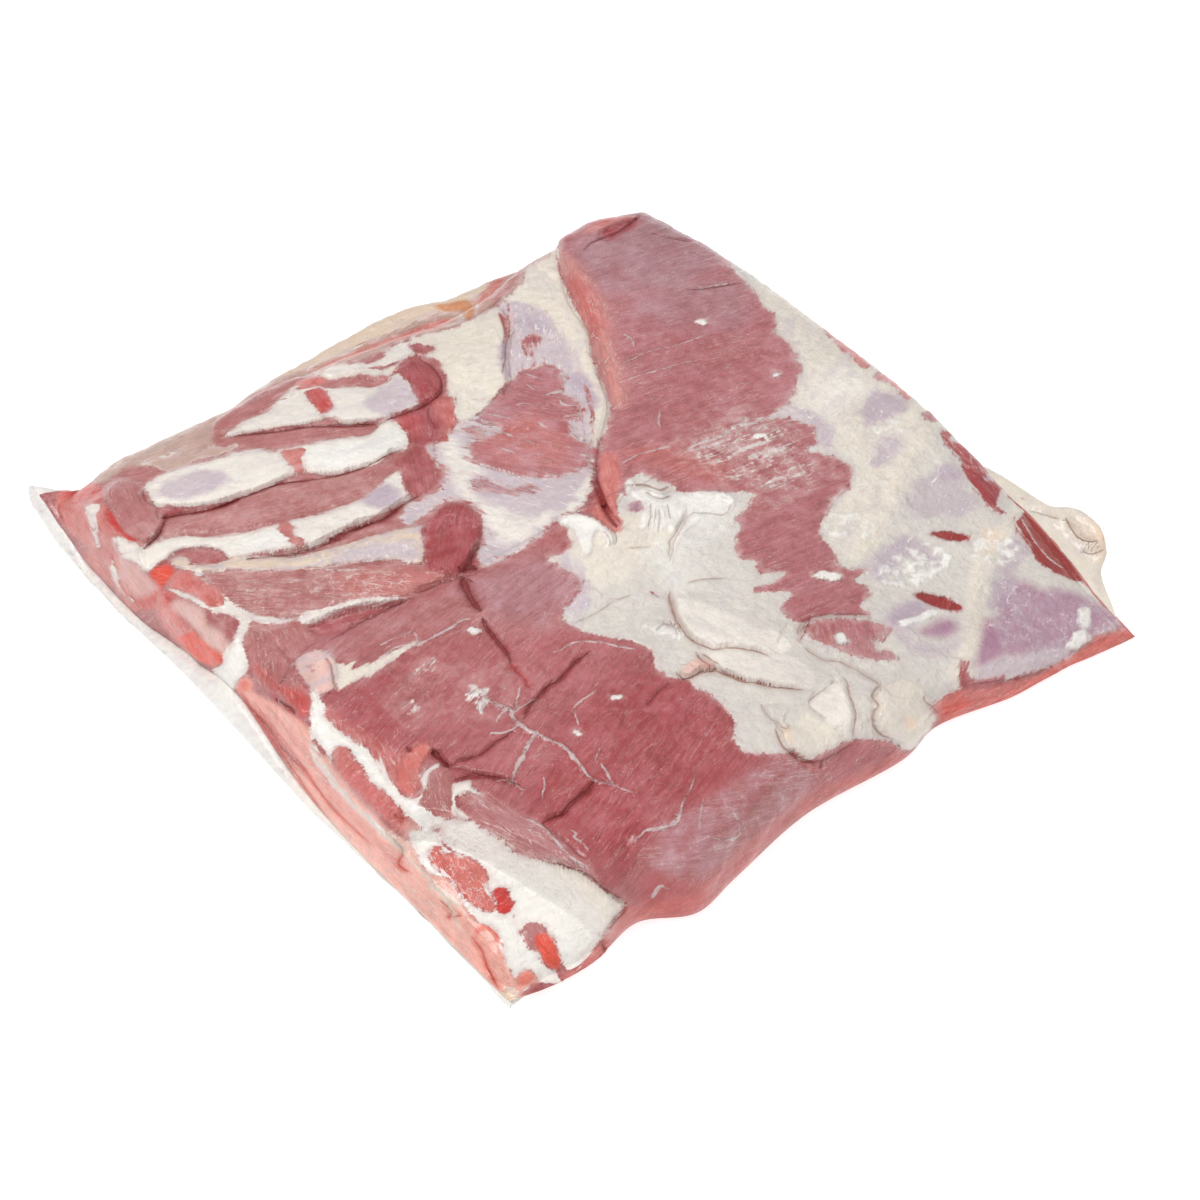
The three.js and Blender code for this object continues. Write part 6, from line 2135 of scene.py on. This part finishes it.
@dataclass(frozen=True)
class TissueFinish:
    """How meat and fat look close up.

    Attributes:
        streak: how much the fibres vary the meat's brightness.
        lean_rough: roughness of the meat.
        fat_rough: roughness of the fat.
        wrinkles: strength of the fine edges in the fat: their relief and the painted shade along them.
        coat: strength of the wet film.
        blood_and_shade: colour of the meat's creases: dark red at their bottom, with painted shade.
        fat_shadow: colour of the painted shade in the fat's creases, fine edges and pits.
        marbling_and_glints: colour of the pale streaks, and of the painted glints on the meat.
        film: colour of silverskin over the meat, which partly stands for a painted sheen.
        sinew: colour of the thin veins of fat on the meat.
        rime: colour of the white web.
        thin_fat: colour of fat that the meat shines through.
        haze: colour of fat that lies over deep meat.
        wisp: colour of the white wisps in it.
        fresh: colour of the reddest meat.
    """

    streak: float = 0.17
    lean_rough: float = 0.40
    fat_rough: float = 0.48
    wrinkles: float = 1.0
    coat: float = 0.5
    blood_and_shade: Colour = (0.20, 0.012, 0.010)
    fat_shadow: Colour = (0.34, 0.13, 0.08)
    marbling_and_glints: Colour = (0.80, 0.60, 0.55)
    film: Colour = (0.56, 0.36, 0.42)
    sinew: Colour = (0.70, 0.55, 0.54)
    rime: Colour = (0.84, 0.72, 0.68)
    thin_fat: Colour = (0.60, 0.43, 0.42)
    haze: Colour = (0.52, 0.44, 0.49)
    wisp: Colour = (0.86, 0.81, 0.76)
    fresh: Colour = (0.46, 0.085, 0.075)

    def material(self, name: str) -> bpy.types.Material:
        """Builds the material.

        The border between meat and fat is where the stored distance, roughened by noise, is
        zero. Meat is streaked along its fibres, marbled and filmed over, the film partly a painted
        sheen, and dotted with painted glints; fat is mottled and thin at its border, with painted
        shade along its fine edges and in its pits; creases carry painted shade and veins are pale.

        Args:
            name: the material's name.

        Returns:
            The material.
        """
        g = Graph(name)
        place = g.scaled(Value(g, g.node("ShaderNodeTexCoord").outputs["Object"]), 1000.0)
        marble, shade, frost = g.parts(g.attribute("marks"))
        torn, veil, _ = g.parts(g.attribute("films"))
        along, across = g.dot(place, g.attribute("along")), g.dot(place, g.attribute("across"))
        own = g.attribute("own", "Fac")
        micro, fine = g.swing(place, 1.3, 3, 0.7), g.swing(place, 0.5, 4)
        mid, broad = g.swing(place, 0.15, 5), g.swing(place, 0.04, 4)
        fibre = g.swing(g.joined(along * 0.06, across * 0.5, own), 1.0, 5, 0.66, 0.7)
        thread = g.swing(g.joined(along * 0.14 + 31.0, across * 1.7, own), 1.0, 3, 0.62, 0.4)
        tear = g.swing(g.joined(along * 0.05, across * 0.27, own + 9.0), 1.0, 5, 0.7, 1.0)

        limit = 12.0 - torn * 10.0
        rim = g.attribute("rim", "Fac").at_most(limit).at_least(limit * -1.0)
        rim = rim + mid * 0.5 + fine * 0.35 + micro * 0.12 + tear * (torn * 6.5 + 0.2)
        fat = g.step(rim * (2.2 - torn * 1.6), -1.0, 1.0)

        tone = fibre * self.streak + thread * 0.12 + broad * 0.14 + mid * 0.14 + fine * 0.08 + micro * 0.10
        meat = g.toned(g.attribute("meat"), tone + 1.03)
        meat = g.mix(g.step(g.swing(place, 0.03, 4, 0.6, 0.5), -0.1, 1.3) * 0.35, meat, self.fresh)
        # Silverskin film over the meat, which partly stands for a painted sheen.
        film = g.step(mid * 0.5 + fibre * 0.3 + broad * 0.6 + micro * 0.2, -0.5, 0.9)
        meat = g.mix(film * veil * 0.75, meat, self.film)
        streaks = g.step(g.swing(g.joined(along * 0.1, across * 0.5, own + 5.0), 1.0, 5, 0.68, 1.4), 0.3, 0.7)
        hair = g.swing(g.joined(along * 0.035, across * 0.2, own + 3.0), 1.0, 4, 0.6, 1.0)
        hair = g.step(abs(hair), 0.06, 0.01)
        slanted = g.joined((along + across) * 0.03, (across - along) * 0.16, own + 7.0)
        slant = g.swing(slanted, 1.0, 3, 0.6, 0.8)
        hair = hair.at_least(g.step(abs(slant), 0.04, 0.01) * g.step(broad, 0.0, 0.6))
        hair = hair * g.step(g.swing(place, 0.05, 3), -0.5, 0.3) * g.step(micro, -0.6, 0.2)
        halo = g.step(rim, -4.0, 0.6) * g.step(mid, -0.6, 0.5) * (torn + 0.25)
        halo = halo * (veil * 3.0).at_most(1.0) * 0.8
        pale = (streaks * marble * 0.75).at_least(hair * (marble + 0.35) * 0.75).at_least(halo)
        meat = g.mix(pale, meat, self.marbling_and_glints)
        net = g.joined(along * 0.2 + mid * 0.5, across * 0.3 + fine * 0.22, own)
        web = g.step(g.cracks(net, 1.0), 0.07, 0.015)
        specks = g.step(g.swing(place, 0.7, 4, 0.7), 0.55, 0.8)
        frosted = (web * g.step(fine + mid * 0.5, -0.3, 0.3)).at_least(specks)
        frosted = frosted * g.step(frost + mid * 0.5, 0.3, 0.9)
        # Painted glints: tiny white dots over the meat stand for wet highlights, and for specks of fat as
        # well.
        dust_and_glints = g.step(g.swing(place, 1.1, 2, 0.5), 1.15, 1.5)
        meat = g.mix(dust_and_glints * 0.5, meat, self.marbling_and_glints)

        sheet = g.swing(place, 0.022, 3, 0.5, 0.5) + mid * 0.06
        ledge = (g.step(sheet, -0.04, 0.04) + g.step(sheet, 0.66, 0.72)) * g.step(broad, -0.4, 0.5)
        # Painted shade along the fine edges of the fat's overlapping sheets.
        wrinkle = g.step(abs(sheet), 0.03, 0.005) * g.step(mid + broad, 0.3, 1.0) * self.wrinkles
        white = g.toned(g.attribute("fat"), mid * 0.05 + fine * 0.04 + broad * 0.07 + micro * 0.03 + 0.98)
        white = g.mix(wrinkle * 0.25, white, self.fat_shadow)
        white = g.mix(g.step(rim, 3.5, 0.0) * g.step(mid, -0.6, 0.5) * 0.6, white, self.thin_fat)
        sheer = g.swing(g.joined(along * 0.05, across * 0.12, own), 1.0, 5, 0.65, 1.0)
        sheer = g.step(sheer + mid * 0.3, -0.4, 0.8)
        white = g.mix(sheer * (veil + 0.1) * 0.75, white, self.haze)
        white = g.mix(streaks * marble * veil, white, self.wisp)
        # Painted shade in small pits of the fat.
        pits = g.step(g.swing(place, 0.3, 4, 0.7, 0.6), -0.7, -1.0)
        white = g.mix(pits * 0.2, white, self.fat_shadow)

        offset, half, dark = g.parts(g.attribute("crease"))
        cut = g.step(abs(offset + fine * 0.3) - half * (mid * 0.5 + 1.0), 0.3, -0.3)
        cut = cut * g.step(half, 0.02, 0.2)
        offset, half, _ = g.parts(g.attribute("vein"))
        vein = g.step(abs(offset + fine * 0.4) - half * (mid * 0.7 + 1.0), 0.3, -0.2)
        vein = vein * g.step(half, 0.02, 0.2)
        vein = vein * g.step(micro + mid, -1.0, 0.0)
        meat = g.mix(vein * (g.step(fine + mid, -1.0, 0.8) * 0.35 + 0.62), meat, self.sinew)
        colour = g.mix(frosted * 0.75, g.mix(fat, meat, white), self.rime)
        # Painted shade: creases, and the soft shade beside them, darken towards deep red on the meat and a
        # shadow brown on the fat.
        dark = dark * g.step(mid + fine * 0.5, -1.6, -0.2)
        shadow = g.mix(fat, self.blood_and_shade, self.fat_shadow)
        colour = g.mix((shade * 0.6).at_least(cut * dark * 0.96), colour, shadow)

        rough = fine * 0.08 + fat * (self.fat_rough - self.lean_rough) + self.lean_rough + cut * 0.2
        lumps = (fibre * 0.2 + thread * 0.12 + micro * 0.13) * (1.0 - fat)
        lumps = lumps + fat * (mid * 0.2 + fine * 0.06 + ledge * (0.3 * self.wrinkles))
        lumps = lumps + fine * 0.14 + micro * 0.05 + vein * 0.25 - cut * 0.4 - pits * fat * 0.1
        bump_inputs = {"Strength": 1.0, "Distance": 0.001, "Height": lumps}
        normal = g.value("ShaderNodeBump", "Normal", None, bump_inputs)
        shader = g.node("ShaderNodeBsdfPrincipled", None, {
            "Base Color": colour, "Roughness": rough, "Normal": normal, "IOR": 1.4,
            "Coat Weight": self.coat, "Coat Roughness": 0.22, "Subsurface Weight": 0.1,
            "Subsurface Radius": (1.0, 0.45, 0.3), "Subsurface Scale": 0.003})
        g.node("ShaderNodeOutputMaterial", None, {"Surface": Value(g, shader.outputs["BSDF"])})
        return g.material


# ---------------------------------------------------------------- floor, light and camera
@dataclass(frozen=True)
class Lamp:
    """A round soft lamp that points at the slab.

    Attributes:
        name: the lamp's name.
        place: where it hangs, in metres.
        size: how wide it is, in metres.
        power: its power, in watts.
    """

    name: str
    place: tuple[float, float, float]
    size: float
    power: float

    def build(self) -> None:
        """Hangs the lamp."""
        data = bpy.data.lights.new(self.name, "AREA")
        data.shape, data.size, data.energy = "DISK", self.size, self.power
        light = bpy.data.objects.new(self.name, data)
        light.location = self.place
        light.rotation_euler = (-Vector(self.place)).to_track_quat("-Z", "Y").to_euler()
        bpy.context.collection.objects.link(light)


@dataclass(frozen=True)
class Studio:
    """The plain pale floor, the soft lights and the camera.

    Attributes:
        lens: focal length in mm on a 36 mm wide film.
        target: what the camera looks at, in the drawing frame, in mm.
        sky: strength of the even light from all round.
        floor_glow: light that the floor gives off, so that it stays white.
        floor_half: half the floor's width, in metres.
        floor_drop: how far the floor lies under the slab, in metres.
        lamps: the lamps.
    """

    lens: float = 80.0
    target: tuple[float, float, float] = (-9.8, -30.0, 20.0)
    sky: float = 0.32
    floor_glow: float = 0.75
    floor_half: float = 4.0
    floor_drop: float = 0.0002
    lamps: tuple[Lamp, ...] = (
        Lamp("key", (-0.55, 0.25, 1.9), 0.9, 26.0),
        Lamp("back", (0.75, 1.0, 1.5), 0.7, 2.0),
        Lamp("fill", (1.3, -0.6, 1.6), 1.6, 6.0),
        Lamp("front", (-0.9, -1.6, 1.3), 1.6, 11.0),
    )

    def build(self) -> None:
        """Makes the floor, world, lamps and camera."""
        self._floor()
        world = bpy.data.worlds.new("studio")
        world.use_nodes = True
        back = world.node_tree.nodes["Background"]
        back.inputs["Color"].default_value = (1.0, 1.0, 1.0, 1.0)
        back.inputs["Strength"].default_value = self.sky
        bpy.context.scene.world = world
        for lamp in self.lamps:
            lamp.build()
        self._camera()

    def _floor(self) -> None:
        """A wide, nearly white sheet."""
        mesh = bpy.data.meshes.new("floor")
        half = self.floor_half
        corners = [(-half, -half, 0), (half, -half, 0), (half, half, 0), (-half, half, 0)]
        mesh.from_pydata(corners, [], [(0, 1, 2, 3)])
        floor = bpy.data.objects.new("floor", mesh)
        bpy.context.collection.objects.link(floor)
        floor.location.z = -self.floor_drop
        g = Graph("floor")
        place = Value(g, g.node("ShaderNodeTexCoord").outputs["Object"])
        tone = (g.noise(place, 3.0, 3) - 0.5) * 0.01 + 0.5
        shader = g.node("ShaderNodeBsdfPrincipled", None, {
            "Base Color": g.joined(tone, tone, tone), "Roughness": 0.9, "Emission Color": (1.0, 1.0, 1.0),
            "Emission Strength": self.floor_glow})
        g.node("ShaderNodeOutputMaterial", None, {"Surface": Value(g, shader.outputs["BSDF"])})
        mesh.materials.append(g.material)

    def _camera(self) -> None:
        """Puts the camera at the drawing's eye point."""
        eye, target = (Vector(to_part(np.array(point)).tolist()) for point in (PLANE.eye, self.target))
        camera = bpy.data.cameras.new("camera")
        camera.lens, camera.sensor_width, camera.sensor_fit = self.lens, 36.0, "AUTO"
        camera.clip_start, camera.clip_end = 0.05, 30.0
        holder = bpy.data.objects.new("camera", camera)
        holder.location = eye
        holder.rotation_euler = (target - eye).to_track_quat("-Z", "Y").to_euler()
        bpy.context.collection.objects.link(holder)
        bpy.context.scene.camera = holder


class PorkBelly:
    """The whole slab: its map, skins and finish."""

    def __init__(self) -> None:
        """Draws the map and sets out the skins."""
        shape, tissue = PlainShape(SIZES), TissueMap.drawn()
        self.skins = {"lean": LeanSkin(shape, tissue), "back_fat": BackFatSkin(shape, tissue)}
        self.finishes = {"lean": TissueFinish(), "back_fat": TissueFinish(wrinkles=0.0)}

    def build(self) -> None:
        """Builds and dresses every piece; a skin's node and slot have the same name."""
        for node, skin in self.skins.items():
            finish = self.finishes[node].material(f"{node}_finish")
            for piece in skin.build():
                piece.data.materials.append(finish)
                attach(piece, "root")
                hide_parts(node)


def main() -> None:
    """Loads the frame and builds the slab and its studio."""
    logging.basicConfig(level=logging.INFO, format="%(name)s: %(message)s")
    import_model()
    PorkBelly().build()
    Studio().build()
    bpy.context.scene.view_settings.view_transform = "Standard"


if __name__ == "__main__":
    main()
